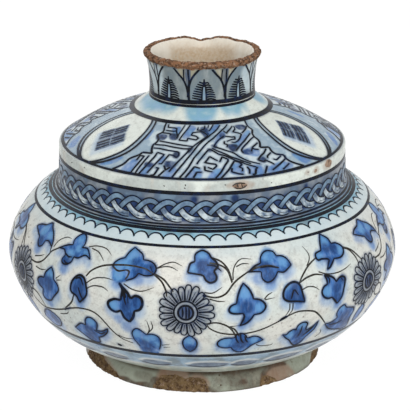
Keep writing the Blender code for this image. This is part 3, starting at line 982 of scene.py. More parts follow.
# Each leaf: the width of the brush that outlined it, in millimetres, then its outline
LEAVES = [
    # right unit, from the collar down
    (1.1, (-4.2, 87.8, C), (-3.6, 92), (-2.2, 93.3, C), (-2.1, 97), (0, 99), (2, 97.5), (2.7, 95.4),
     (4.2, 93), (4.6, 90.5), (3.5, 88.6), (4.1, 86), (3.8, 83.9), (2.3, 83), (1, 84.3), (0.2, 86.5),
     (-2, 87.2)),
    (0.82, (13.5, 87.2, C), (15.5, 89.8), (17.6, 91, C), (17.8, 93.5), (19, 96), (20.5, 96.8), (22.3, 96),
     (23, 93.6, C), (24.6, 93.2), (26, 91.6), (27, 88.2, C), (25.5, 86.4), (24, 85.2), (22.3, 85.9, C),
     (21.3, 83.6), (20, 81.9), (18.5, 81.6), (17.3, 83.6), (17.3, 86.8, C), (15.2, 87.2)),
    (1.0, (41.3, 99.8, C), (42.6, 97.9), (43.5, 96.2), (43.8, 93.4, C), (45.5, 93), (47, 91.2), (47.5, 89.4),
     (46.8, 87), (45, 85.6), (42.4, 86, C), (41, 84), (39.9, 82.6), (38.7, 82, C), (39.6, 84.4),
     (40.3, 86.4), (38, 87.5), (36.5, 87.4), (36, 88.9), (36.3, 90.7), (37.4, 91.3), (38.7, 91.6, C),
     (39.7, 95.5)),
    (1.0, (11.6, 82.2, C), (13, 79.5), (13.9, 76.5), (14.2, 74.4, C), (16, 73.7), (17.3, 71.8), (17.6, 69.6),
     (16.4, 67.1), (14.3, 66.5, C), (13.5, 64.2), (12.2, 62), (10.5, 60.9, C), (11.1, 63.2), (11.6, 66),
     (11.2, 67.7, C), (9.5, 67.6), (7.8, 68.3), (7.3, 70), (8, 71.8), (9.4, 72.7, C), (9.8, 76),
     (10.6, 79.5)),
    (1.2, (29.5, 69.3, C), (27, 70.3), (24.5, 71), (23, 73), (23.3, 76.6), (25, 79.2), (27, 79.7),
     (28.4, 77.8), (28.9, 74)),
    (1.1, (37.1, 79.8, C), (39, 78.6), (40.3, 77), (41, 74.9, C), (41.9, 76.1), (43.3, 76.7), (44.5, 75.5),
     (44.2, 73), (43.5, 70), (42.8, 66.2), (41.3, 63.6, C), (40.1, 66), (39, 68, C), (37.5, 68), (36, 69.5),
     (35.4, 72), (36.2, 74.3), (37.7, 75.1, C), (37.6, 77.4)),
    (0.82, (9.2, 53.3, C), (6.7, 53.3), (5, 52), (4.4, 49.8), (5, 47.4), (7, 46.1), (8.6, 46.5, C),
     (9.4, 44), (11, 42.2), (12.5, 42.5), (13.8, 45), (15.2, 47.4), (18, 50, C), (16.6, 52.4), (15, 53.4),
     (13, 52.5, C), (12.4, 54.6), (11.2, 56), (10, 55.4)),
    (0.82, (24, 51.6, C), (25.4, 51.3), (26, 53), (27.4, 54), (28.3, 53, C), (28.3, 55.4), (29.1, 57),
     (30.5, 57.4), (31.7, 56), (31.6, 53.2), (32, 51.4, C), (33.8, 53), (35.5, 55.8, C), (35, 51),
     (33.6, 48), (32.6, 46, C), (32, 42.6), (30.6, 41), (29.4, 41.5), (28, 44), (27, 46.4), (25.5, 48.6)),
    (0.75, (38.8, 52.4, C), (41.2, 51.9), (43.4, 53.8, C), (42.4, 57.4), (43.2, 60.3), (44.8, 61),
     (46.2, 58.8, C), (48.5, 57.5), (50.2, 56.4), (51, 53.5), (50.6, 50), (51.4, 46), (52.4, 42.6, C),
     (49.8, 41.6), (47.5, 43.3), (45.2, 44.6), (42, 47), (40, 49.8)),
    # left unit, from the collar down
    (0.82, (-65, 93.3, C), (-63, 95.2), (-60.6, 96), (-60, 96.6, C), (-58, 98.6), (-56.2, 96.4), (-54, 94),
     (-52.4, 90.6), (-52, 88, C), (-54.3, 89.8), (-56, 89.4, C), (-56.5, 86.6), (-58, 85.3), (-59.5, 87.2),
     (-60, 89.5, C), (-62, 91)),
    (0.82, (-43.6, 92.8, C), (-44, 95.5), (-43, 98.4), (-41.5, 99.8), (-40, 98.4), (-39.2, 95),
     (-39.7, 92.8, C), (-37.6, 93), (-36.1, 90.6), (-35.2, 88.2, C), (-37.4, 89.6), (-39.6, 87.4),
     (-41.3, 87.3, C), (-41.6, 84.8), (-43, 82.8), (-44.7, 82.7), (-45.5, 84.5), (-44.7, 87, C),
     (-46.2, 89.3), (-48.4, 89.1, C), (-46, 91.5)),
    (0.82, (-21.6, 98.3, C), (-20, 96.9), (-18.5, 95.2), (-17.8, 92.6, C), (-16, 92.4), (-14.3, 91),
     (-13.5, 88.5), (-14.3, 85.8), (-16.5, 85), (-18.6, 85.8, C), (-19.6, 83.5), (-22, 81.6, GAP),
     (-24, 80.4), (-26, 81.4), (-26.5, 84), (-26.9, 86.8, C), (-26.9, 88.8), (-25.5, 91.2), (-23.8, 92.4, C),
     (-23, 95.4)),
    (0.82, (-48.7, 79, C), (-47.3, 76.5), (-46.8, 73.6, C), (-45, 71.6), (-44.5, 69), (-46, 66),
     (-47.2, 64, C), (-48.6, 61.6), (-51, 60.8), (-52.2, 62.6), (-51.5, 66.5, C), (-53.5, 68), (-54.2, 70.3),
     (-53, 72), (-51.2, 72.5, C), (-50.7, 75.6)),
    (1.2, (-36.4, 66.4, C), (-37.5, 69.4), (-39.3, 70.6), (-39.8, 73), (-39.3, 76.6), (-37.5, 79.6),
     (-35.6, 79), (-34.4, 75.5), (-34, 71)),
    (1.45, (-24, 80, C), (-22.7, 77), (-23, 72, C), (-25, 72), (-26.8, 70), (-26.3, 67), (-24.6, 65.6),
     (-22.9, 66.8, C), (-22, 63), (-20.6, 61, C), (-19.4, 64), (-18.9, 67.4, C), (-17.3, 68.6),
     (-16.6, 71.3), (-17, 74), (-18.7, 75), (-20, 73.4, C), (-21.2, 76)),
    (0.7, (-57.6, 46, C), (-56, 50), (-53.4, 53.4), (-50.4, 53.2), (-48, 50.4), (-48.4, 46.6), (-51, 43),
     (-54.4, 42.4)),
    (0.82, (-41.5, 48.5, C), (-40, 50.6), (-38, 53.2), (-36.3, 52.8, C), (-35.8, 56), (-34.6, 58.6),
     (-33, 58.7), (-31.7, 56.5), (-32, 53.5), (-32.8, 50.8, C), (-30.6, 51.4), (-28.3, 54, C), (-29, 51),
     (-31, 47.6), (-33, 45.6, C), (-33.4, 42), (-35, 40.6), (-37.3, 41.6), (-39, 44.5)),
    (0.75, (-20.3, 50, C), (-20.5, 54), (-19.5, 56.9), (-18.3, 57.3), (-17, 55.6), (-16.2, 54.2, C),
     (-14.5, 54.8), (-12.9, 53.8), (-12.2, 51.4), (-12.3, 48), (-13, 44, GAP), (-14, 40.2), (-16.5, 39.6),
     (-18.6, 40.2), (-19, 45, C)),
    # buds under the rosettes
    (0.82, (-3.6, 55.6, C), (-2, 53), (-1.5, 49.6), (-2.2, 45.8), (-3.6, 43.4, C), (-5.1, 45.8),
     (-5.7, 49.8), (-5.2, 53)),
    (0.82, (-64.4, 55.6, C), (-62.8, 53), (-62.3, 49.6), (-63, 45.8), (-64.4, 43.4, C), (-65.9, 45.8),
     (-66.4, 49.8), (-66, 53))]

# Angle, height and radius of the places where the leaves' wash is thin, where it gathered, and where it ran
# further down
LEAF_LIGHTS = (
    (0, 97, 1.6), (-2.6, 89.6, 1.0), (20.3, 94.8, 2.8), (24.6, 90.4, 1.6), (41.5, 96, 1.6),
    (37.2, 89.3, 1.5), (46.2, 89, 1.3), (11.8, 77.8, 1.9), (8.8, 70, 1.4), (16, 70.2, 1.4), (24.4, 78, 0.7),
    (37.2, 71.8, 1.6), (6.6, 50.2, 2.2), (15, 50.6, 1.2), (26.5, 50.6, 1.4), (30, 55.4, 1.2),
    (44.6, 59.4, 0.8), (-59.4, 93.6, 2.0), (-55, 93, 1.4), (-41.5, 97.4, 1.4), (-40.6, 92, 1.0),
    (-37.4, 91.2, 1.0), (-21.6, 95, 2.2), (-22.6, 90.6, 2.4), (-25.2, 88.4, 1.6), (-24.6, 83.6, 1.8),
    (-48.8, 76, 1.6), (-43, 88, 1.4), (-25.2, 69, 1.4), (-33.8, 56.4, 1.4), (-19.2, 53.8, 1.2),
    (-14.2, 52.6, 1.2), (-13.6, 48, 1.0), (-3.9, 51.6, 1.4), (-16.4, 51, 0.8))
LEAF_DEEPS = (
    (0.4, 91, 2.2), (3.4, 91, 1.0), (18.8, 88.6, 1.8), (19.6, 84.4, 2.4), (2.6, 86, 1.4), (41, 92, 1.4),
    (43.6, 90.4, 1.6), (40.4, 85.6, 1.0), (12.2, 70.4, 2.2), (12, 64, 1.0), (26, 73.6, 2.6),
    (28.4, 71.2, 1.2), (27, 77, 1.0), (41, 72, 1.5), (43.8, 75.4, 0.9), (41.4, 67, 1.2), (11.4, 48.4, 2.4),
    (30.2, 49.6, 2.6), (30.6, 43.6, 1.6), (47, 52, 3.4), (49.6, 46, 2.4), (42, 49.6, 1.8), (-58.4, 88, 1.4),
    (-43.6, 84.4, 0.9), (-15.2, 88.2, 1.6), (-18.8, 86.6, 1.0), (-20.2, 91.2, 0.7), (-49, 70.4, 2.6),
    (-52.4, 69.4, 1.0), (-37, 74, 2.8), (-36, 69.6, 1.8), (-22.2, 74, 1.2), (-18.4, 72, 1.8),
    (-20.4, 64.4, 1.2), (-50.6, 48.2, 2.2), (-35.4, 49.4, 2.4), (-36.4, 44, 2.2), (-17.4, 48, 1.2),
    (-15.2, 46.4, 1.2), (-3.3, 46, 1.4), (-4.5, 68.5, 2.8), (-64.5, 68.5, 2.8), (-21.4, 69.4, 1.4),
    (-16.8, 43, 1.6))
LEAF_RUNS = (
    (-21.6, 57.6, 2.4), (-23.8, 61.4, 1.6), (-19.4, 59.6, 1.4), (-18.4, 82.6, 1.6), (16, 83.4, 1.6),
    (27.4, 68.2, 1.4), (-43.6, 80.6, 1.8), (-36.4, 65.4, 1.3), (11, 60.6, 1.2), (19.6, 80, 1.6),
    (44, 84.6, 1.3), (-49.6, 60, 1.4), (-2.6, 85.6, 1.0), (41.6, 63.2, 1.1), (-58.4, 84, 1.3),
    (-24.6, 79.4, 1.3), (9, 44.6, 1.1))

# Dark strokes inside the leaves
VEINS = [
    [(17.2, 88.7), (20, 88.9), (22.6, 87.6)], [(25.3, 72), (26.4, 76), (27.6, 73.2)], [(1.4, 91.6),
     (3.8, 91), (5.6, 88.4)], [(9.6, 55), (9.9, 52), (10.6, 49.6)], [(10.9, 55.6), (11.3, 51.5), (12.2, 49)],
    [(12.2, 54), (12.8, 51), (13.4, 49.4)], [(30, 55), (30, 51), (29.6, 48)], [(32.2, 49.6), (33.8, 52.4),
     (35.2, 55.2)], [(31.4, 48), (33.2, 50.4), (34.6, 53.2)], [(41, 50.6), (44, 49.6), (46.6, 50.4)],
    [(37.6, 79.4), (38.6, 77.4), (38.3, 75.2)], [(43, 76), (43.7, 74.4)], [(-45, 87.8), (-43.4, 86.6),
     (-42, 86.9)], [(-44.6, 84.3), (-43, 83.2), (-41.6, 84.2)], [(-38.4, 77.6), (-36.8, 78.4),
     (-35.4, 75.4)], [(-37, 73.8), (-36, 70.4), (-35, 68)], [(-22.6, 77.5), (-22, 73.5), (-21.4, 70)],
    [(-21, 75), (-20.7, 71)], [(-33.6, 50.6), (-31.4, 49.2), (-29.4, 51.4)], [(-15.4, 89.6), (-14.4, 87)]]

STEMS = [
    # right unit: main stem, its fork and the runs to the leaves
    [(0.5, 77), (3.8, 76), (6.5, 77.6), (8.5, 81.6), (10.2, 84.2), (13.2, 87.2), (17.4, 90.8)], [(2.7, 95.4),
     (5.6, 93.2), (7.6, 89), (8.6, 83)], [(2.2, 92.6), (5.4, 91.3), (7.4, 88.4), (8.4, 82.6)], [(13.4, 87.2),
     (16.5, 89), (20, 89.3), (23, 87.6)], [(28.2, 78.4), (29.6, 81.6), (32, 85.4), (34, 87.4), (36.2, 89)],
    [(22.4, 61.4), (18, 58), (14, 56.1), (9, 55.7), (5, 57), (2.2, 59.8), (1.3, 62)], [(1.2, 62.6),
     (4, 63.2), (7, 61), (8.8, 57.2), (9.8, 52.6)], [(7.4, 60.6), (9.2, 58.6), (10.6, 54)], [(24, 63),
     (27, 64.6), (30, 64.3), (33, 62.8), (35, 60), (36.6, 57), (38.6, 53)], [(47.4, 89.6), (49.6, 87.4),
     (51.2, 83), (51.7, 79)], [(47.5, 90), (50.4, 87.2), (52.4, 83.2), (53.6, 80.4)], [(28.6, 79),
     (31, 80.6), (34, 81.2), (36.6, 80)],
    # left unit
    [(-59.5, 77.6), (-56, 77.8), (-53.4, 80), (-51.8, 83.6), (-51, 86), (-49, 88.4), (-46, 91.6),
     (-43.6, 92.8)], [(-54, 94), (-52.4, 90.6), (-51.6, 85.4)], [(-35, 80), (-33.5, 83.4), (-30.5, 86.5),
     (-27, 88), (-22, 89), (-17, 88.4), (-14.2, 86.2)], [(-38.4, 69.6), (-39.6, 65), (-42.6, 60.4)],
    [(-43, 59.4), (-48, 56.6), (-54, 54.8), (-58, 57.4), (-59.6, 62)], [(-59.6, 62.8), (-56.8, 63),
     (-54.6, 60.6), (-53, 55)], [(-40.6, 61.2), (-37, 63), (-33, 63.3), (-30.4, 61.4), (-28.4, 57.4),
     (-26.4, 52.4), (-24, 48.6), (-21, 46.6)], [(-14, 86), (-11.6, 83), (-10.2, 79), (-9.8, 76)],
    [(-13.8, 86.4), (-11, 84), (-9.2, 80.8), (-8, 78.4)], [(-22.4, 86.6), (-21.5, 86), (-21.8, 83.6),
     (-22.4, 82)], [(-26.8, 87.2), (-25, 85.6), (-22.4, 86.7)]]

TWIGS = [
    [(8.8, 84), (9, 88), (10, 91.6), (12, 94), (15, 93.4)], [(10, 90.2), (12, 91.5), (14, 91.2)],
    [(0.6, 78.4), (3, 78.2), (5.6, 80.8)], [(2, 75.4), (4, 74.3), (6.2, 74)], [(17.3, 73.6), (18.3, 75.4),
     (19.8, 76.5)], [(17.5, 73.4), (20.4, 73.8)], [(16.2, 47), (17.6, 45.6), (21, 45.2), (21.4, 46.6)],
    [(32, 86), (33.5, 89), (33.8, 92), (32.8, 96)], [(35.4, 82), (38, 80), (41.6, 79.1), (45, 79.5),
     (48.2, 80.8)], [(29, 75.4), (31, 76.2), (33, 75.4), (34.6, 73.4)], [(7.4, 60.6), (10.4, 61)],
    [(24.8, 69.8), (24.7, 66.6), (23.6, 63.4)], [(25.8, 69.8), (25.6, 66), (24.4, 63.4)], [(37, 43.6),
     (38.4, 46), (38, 49)], [(-51, 88.4), (-50, 92.4), (-47.6, 95.2), (-45.4, 95.4)], [(-37.4, 94),
     (-34.6, 95.5), (-31, 95.2), (-28.4, 92.4)], [(-36, 93.8), (-33, 92.6), (-30.4, 89)], [(-46, 74.4),
     (-44.2, 77)], [(-45.6, 73.8), (-43.6, 74.6)], [(-34.6, 76.6), (-32, 80), (-28.6, 81.2), (-26, 80.8)],
    [(-34.2, 74.2), (-32, 76.3), (-29, 76.7), (-27, 75.2)], [(-25.4, 51), (-23, 49.6), (-20.4, 50)],
    [(-13.4, 89), (-11, 91.5), (-8.5, 92.6), (-5.8, 90.8)], [(-13.4, 89), (-11, 90.2), (-9, 90), (-7, 88.4)],
    [(-22.6, 80), (-20, 78), (-17, 77.5), (-13.6, 79.8)], [(-15.8, 54.5), (-15, 58), (-15.5, 63)],
    [(-15.5, 55.4), (-14, 59), (-14.3, 63)], [(-12, 47.5), (-9.5, 48.8)], [(-11.6, 46), (-9.5, 46.3)],
    [(-58, 80.2), (-55.6, 81.4), (-53.6, 83)], [(-56, 75.8), (-53.4, 75.6), (-51, 76.6)], [(-46, 55),
     (-43, 56.6), (-41.6, 58.6)]]

BLOTS = [
    [(22, 61.2), (23.2, 62.4), (24.4, 63.2)], [(0.1, 77.2), (0.7, 76.9), (1.2, 76.8)], [(-43.2, 59.2),
     (-40.4, 61.4)], [(-22.8, 78), (-22.2, 75.6), (-21.6, 73.4)], [(-26.6, 43.8), (-26, 43.2),
     (-25.4, 42.6)], [(-26.7, 43.2), (-26, 42.8), (-25.4, 43.2)]]

# One arch of the band under the collar, and the stronger blue between it and the collar
ARCH = [(-2.7, 104.6), (-2.2, 106.4), (-0.9, 107.7), (0.8, 107.5), (2, 106), (2.8, 104.2)]
ARCH_WASH = [
    (-2.6, 104.6, C), (-2.2, 106.6), (-0.8, 108), (0.9, 107.8), (2.1, 106.2), (2.6, 104.6, C),
    (2.6, 113.0, C), (-2.6, 113.0, C)]

# One dash low on the band under the scroll, its lower line, and the pale curved painted highlight over it
DASH = [(-6, 27.6, C), (-4, 31), (0.4, 31.6), (6, 30.2, C), (4.2, 26.6), (1, 25.8), (-2, 26.2)]
DASH_LINE = [(-6.8, 29), (-4, 26.8), (1, 26), (6.6, 28.4)]
CRESCENT_HIGHLIGHT = [(-6.8, 30.6), (-4, 32.8), (0, 33.6), (3, 33.2), (6.4, 31.4), (2.6, 32.2), (-1, 32.2), (-4, 31.4)]

# Angle and width of each dash
DASH_PLACES = ((-47, 1.0), (-31.5, 0.8), (-16, 0.85), (2, 1.1), (14.6, 0.7), (29, 1.1), (45, 0.9),
               *((angle, 1.0) for angle in (*range(61, 181, 16), *range(-174, -61, 16))))


def rosette(drawing, angle):
    """A round flower of looped petals about a ringed eye."""
    width = degrees_per_mm(BELLY.reference)

    def at(radius, turn):
        return (angle + radius * math.sin(turn) * width, ROSETTE_HEIGHT + radius * math.cos(turn))

    half = math.pi / ROSETTE_PETALS
    for petal in range(ROSETTE_PETALS):
        turn = 2 * half * petal + 0.1
        reach = ROSETTE_RADIUS * (1.0 + 0.05 * math.sin(5 * turn))
        loop = ((6.2, -0.75), (reach * 0.8, -0.92), (reach * 0.97, -0.55), (reach, 0), (reach * 0.97, 0.55),
                (reach * 0.8, 0.92), (6.2, 0.75))
        drawing.stroke([at(radius, turn + share * half) for radius, share in loop], 0.68, (0.8, 1, 0.8))
        drawing.stroke([at(6.4, turn - 0.1 * half), at(reach * 0.8, turn + 0.12 * half)], 0.7, (0.6, 1, 0.3))
    for radius, thick in ((5.7, 0.9), (3.6, 1.1)):
        ring = [at(radius, 2 * math.pi * step / 40) for step in range(41)]
        drawing.stroke(ring, thick, (1, 1, 1), smooth=False)
    for offset, reach in ((-1.6, 2.4), (0.1, 3.1), (1.5, 2.6)):
        bar = [(0, -reach), (0.12, 0), (0, reach)]
        drawing.stroke([(angle + offset * width + x, ROSETTE_HEIGHT + y) for x, y in bar], 1.0)


def scroll_outlines():
    """Leaf outlines, veins, blots and rosettes."""
    drawing = lines([(VEINS, 0.9, (0.6, 1.0, 0.4)), (BLOTS, 1.7, (0.5, 1.0, 0.5))])
    for width, *points in LEAVES:
        drawing.outline(points, width, (0.7, 1.0, 0.7))
    for angle in ROSETTES:
        rosette(drawing, angle)
    return drawing


def round_base(points):
    """One mark of the band under the scroll, at each dash."""
    return [shifted(points, *place) for place in DASH_PLACES]


class VASE_OT_belly(Operator):
    """Turns the belly and soaks its washes into the glaze"""

    bl_idname = "vase.belly"
    bl_label = "Belly"

    def execute(self, context):
        size = context.scene.vase_sizes
        outer = belly_face(size)
        centre = spot(0.0, size.foot_height)
        land = outer[-1] - spot(JOINT_LAND, 0.0)
        floor = size.foot_height + FLOOR_THICKNESS
        inner = [p for p in inward(outer, BODY_WALL)[8:-8:7] if floor < p.y < land.y - 0.002]
        profile = [centre, *outer, land, *inner[::-1], spot(size.foot_top_radius, floor), spot(0.0, floor)]
        leaves = shapes([points for width, *points in LEAVES])
        eyes = shapes(spots=[(angle, ROSETTE_HEIGHT, ROSETTE_RADIUS - 0.5) for angle in ROSETTES])
        haze = shapes(bands=[(-60.0, 38.2), (101.6, 112.5)])
        scroll = SCROLL_REPEATS
        washes = [
            Wash("haze", haze, 0.8, "haze", "cobalt_thin", 0.8, 0.2, 60.0),
            Wash("mist", shapes(bands=[(99.0, 104.0)]), 8.0, "haze", "turquoise", 0.4, 0.3, 50.0),
            Wash("base", shapes(bands=[(-60.0, 36.6)]), 2.5, "lavender", "slate", 0.95, 0.9, 130.0),
            Wash("seat", shapes(bands=[(-60.0, 24.8)]), 1.6, "foot_pale", "ground", 0.9, 0.6, 150.0),
            Wash("arch", shapes([ARCH_WASH]), 0.8, "turquoise", "slate", 0.95, 0.7, 110.0, SCALLOPS),
            # Pale painted highlights over the dashes
            Wash("crescent", shapes(round_base(CRESCENT_HIGHLIGHT)), 1.4, "ground", "haze", 0.75, 0.4, 200.0),
            Wash("dashes", shapes(round_base(DASH)), 1.5, "dusk", "line", 0.95, 0.5, 200.0),
            Wash("slate", eyes, 0.8, "slate", "lavender", 0.45, 0.6, 300.0, scroll),
            Wash("bleed", leaves, 3.6, "cobalt_thin", "cobalt", 0.65, 0.7, 180.0, scroll, 2.6),
            Wash("runs", shapes(spots=LEAF_RUNS), 2.6, "cobalt", "cobalt_thin", 0.65, 0.7, 200.0, scroll),
            Wash("blue", leaves, 0.9, "cobalt", "cobalt_deep", 1.0, 0.6, 330.0, scroll),
            Wash("light", shapes(spots=LEAF_LIGHTS), 2.4, "cerulean", "cobalt", 0.9, 0.5, 330.0, scroll),
            Wash("deep", shapes(spots=LEAF_DEEPS), 2.8, "cobalt_deep", "cobalt", 0.9, 0.5, 380.0, scroll),
            Wash("halo", scroll_outlines(), 1.6, "cobalt_deep", "dusk", 0.7, 0.5, 200.0, scroll)]
        turned_piece(BELLY, profile, (outer[0] - centre).length, washes)
        return {"FINISHED"}


class VASE_OT_belly_lines(Operator):
    """Brushes the scroll, the rosettes and the border lines on the belly"""

    bl_idname = "vase.belly_lines"
    bl_label = "Belly lines"

    def execute(self, context):
        face = belly_face(context.scene.vase_sizes)
        dark = outline_pigment()
        stems = lines([(STEMS, 0.95, (0.85, 1.0, 0.6)), (TWIGS, 0.66, (1.0, 0.95, 0.3))])
        rings = lines(rings=[(39.4, 2.5, 0.2, 0.4), (100.6, 1.5, 0.15, 1.3), (109.9, 2.0, 0.1, 2.2)])
        arches = lines([([ARCH], 0.95, (0.7, 1.0, 1.0))])
        dashes = lines([(round_base(DASH_LINE), 1.2, (0.3, 1.0, 0.3))])
        brushed_piece(BELLY, "scroll_stems", stems, face, stem_pigment(), SCROLL_REPEATS, lift=0.04)
        brushed_piece(BELLY, "scroll_outlines", scroll_outlines(), face, dark, SCROLL_REPEATS, lift=0.06)
        brushed_piece(BELLY, "belly_rings", rings, face, dark, lift=0.07, step=1.5)
        brushed_piece(BELLY, "scallops", arches, face, dark, SCALLOPS, lift=0.06)
        brushed_piece(BELLY, "base_dash_lines", dashes, face, dark, lift=0.06)
        return {"FINISHED"}


# Collar

BRAID_REPEATS = 51

# Angle, height and radius of blue that gathered over the braid, and one strand of each of its rows
COLLAR_BLOTS = (
    (12.5, 15.4, 1.2), (-3, 15.2, 0.9), (44, 15, 0.8), (-38, 15.2, 1.0), (128, 15, 1.1), (-150, 15.4, 1.2))
UPPER_STRAND = [(-11.4, 8.2), (-9.5, 10.7), (-7.6, 12.6), (-5.8, 13.4), (-4, 12.9), (-2.8, 11.8)]
LOWER_STRAND = [(-8.2, 10.2), (-6.7, 7.7), (-5, 6.1), (-3, 5.3), (-0.7, 5.3)]

# How much wider a strand's dark edge is, how far the strand lies over it, and how far both fall to their
# ends, where the next strand covers them; then its points across
STRAND_EDGE = 1.4
STRAND_OVER = 0.015
STRAND_FALL = 0.08
STRAND_ACROSS = 7
STRAND_TAPER = (0.92, 1.0, 0.8)


class VASE_OT_collar(Operator):
    """Turns the collar and soaks its washes into the glaze"""

    bl_idname = "vase.collar"
    bl_label = "Collar"

    def execute(self, context):
        size = context.scene.vase_sizes
        outer = collar_face(size)
        inner_top = spot(size.lip_radius - CONE_WALL, size.lip_underside)
        inner_low = spot(size.shoulder_radius - JOINT_LAND, size.shoulder_height)
        pools = shapes(spots=COLLAR_BLOTS, bands=[(5.0, 13.2)])
        washes = [Wash("dusk", shapes(bands=[(-2.0, 17.9)]), 0.8, "dusk", "lavender", 0.97, 0.6, 60.0),
                  Wash("pools", pools, 2.0, "cobalt_deep", "line", 0.97, 0.7, 130.0)]
        profile = outer + line_points(inner_top, inner_low, 6) + [outer[0]]
        turned_piece(COLLAR, profile, 0.0, washes, specks=0.3)
        return {"FINISHED"}


class VASE_OT_collar_braid(Operator):
    """Brushes the braid and the border lines on the collar"""

    bl_idname = "vase.collar_braid"
    bl_label = "Collar braid"

    def execute(self, context):
        size = context.scene.vase_sizes
        face = collar_face(size) + lip_face(size)[1:]
        dark = outline_pigment()
        pale = strand_material("lower_strand", "strand", "upper_strand", "dusk")
        blue = strand_material("upper_strand", "upper_strand", "lavender", "dusk")
        braid = {"across": STRAND_ACROSS, "fall": STRAND_FALL}
        for label, points, finish, lift, width in (("lower_braid", LOWER_STRAND, pale, 0.10, 2.6),
                                                   ("upper_braid", UPPER_STRAND, blue, 0.22, 2.1)):
            edge = lines([([points], width + STRAND_EDGE, STRAND_TAPER)])
            body = lines([([points], width, STRAND_TAPER)])
            brushed_piece(COLLAR, label + "_edge", edge, face, dark, BRAID_REPEATS, lift, **braid)
            brushed_piece(COLLAR, label, body, face, finish, BRAID_REPEATS, lift + STRAND_OVER, **braid)
        rings = lines(rings=[(2.5, 1.1, 0.1, 0.3), (0.5, 1.6, 0.1, 1.3), (18.2, 1.9, 0.08, 1.1)])
        brushed_piece(COLLAR, "collar_rings", rings, face, dark, lift=0.07, step=1.5)
        return {"FINISHED"}


# Cone

PANEL_REPEATS = 3

# Angle and width of each medallion, and the height and size of its diamond
MEDALLIONS = ((-54.2, 1.15, 19.4, 1.08), (59.5, 1.0, 22.2, 1.04), (182.0, 1.05, 20.8, 1.0))

# The last one again, a turn away, because its wash crosses the back seam
BACK_MEDALLION = ((-178.0, *MEDALLIONS[-1][1:]),)

# First and last angle, and lowest point, of each run of blue on the plain ring
RING_SMUDGES = (
    (-86, -32, 46.4), (-15, 13, 42.4), (22, 48, 47.6), (74, 100, 46), (130, 164, 45.4), (-156, -112, 46))

# Stepped outline of one fret panel, and the brushed edges of the fret's bands
PANEL = [
    (-29.2, 40.4, C), (-27.3, 35.3), (-26, 32.8), (-25.8, 31, C), (-28.1, 28.4, C), (-25.4, 25.3),
    (-25.5, 22.6), (-26.3, 20.7), (-25.4, 17), (-24.3, 15.1, C), (-29.2, 14.8, C), (-30.2, 12.8),
    (-33.4, 9.5), (-34.6, 5.4), (-38, 1.2, C), (0, 0.6), (44.5, 1.2, C), (40.4, 5), (38.8, 8.1),
    (39.2, 10.3, C), (35.6, 12, C), (34.6, 14.2), (34.8, 17.3, C), (30.1, 18.2, C), (31.8, 21.4),
    (32.2, 23.9), (31.4, 26.2), (31.9, 28.9, C), (34.3, 31.7, C), (33.5, 35.1), (36, 40.4, C), (4, 40.8)]

DIAGONALS = [
    [(-13.6, 4.6), (-11.6, 9.5), (-9.2, 14.2), (-6.6, 19), (-5.5, 20.9), (-4.1, 22.8), (-1.5, 25.6),
     (1.2, 28.1), (3.6, 30.3)], [(-11.8, 1.4), (-10, 6.2), (-7.8, 11.2), (-6.5, 14.2), (-4.7, 17.8),
     (-2.4, 22.6), (-0.4, 25.3), (2.4, 28.1), (5.3, 30.9), (7.7, 32.8), (10.1, 35), (13.4, 38.6)],
    [(-8.8, 1.4), (-6.5, 6.2), (-5.1, 10.1), (-3.7, 14.2), (-1.5, 18.1), (1.2, 22.6), (3.9, 25.8),
     (6.6, 28.1), (8.8, 30.3), (11.4, 32.6), (13.8, 34.5), (16.5, 36.4), (19.4, 38.8)], [(-2.3, 10.1),
     (-1.7, 11.7), (-0.3, 14.2), (1.7, 17.6), (3.6, 19.8), (5.9, 18.4), (8, 16.4), (10.6, 15.3),
     (13.3, 13.1), (15.4, 11.4), (17.6, 10.1), (19.1, 8.7), (23.1, 6.2)], [(5.1, 20.6), (7.4, 18.9),
     (9.8, 17.3), (11.7, 15.9), (13.8, 13.9), (16, 12.6), (18.6, 10.6), (21.4, 8.6)], [(13.3, 29.4),
     (11.4, 28.1), (8.8, 25.9), (6.2, 22), (7.2, 21.4), (10.1, 19.8), (12.5, 18.4), (14.9, 17), (16.2, 15.6),
     (17.3, 13.9), (19.1, 12), (21.3, 10.1), (25.3, 7.8)], [(17, 18.1), (18.6, 19.8), (21.3, 22.3),
     (23.9, 24.2), (26.6, 26.4), (30.6, 29.2)], [(20.2, 16), (19.7, 17.3), (20.2, 18.7), (22.6, 20.9),
     (25.3, 22.8), (28.2, 24.8), (31.1, 26.2)], [(25.5, 30.3), (27.9, 31.7), (30.6, 33.4), (32.7, 35.3)],
    [(25.5, 10.6), (27.9, 12.8), (30.1, 14.2), (32.6, 16.6)]]

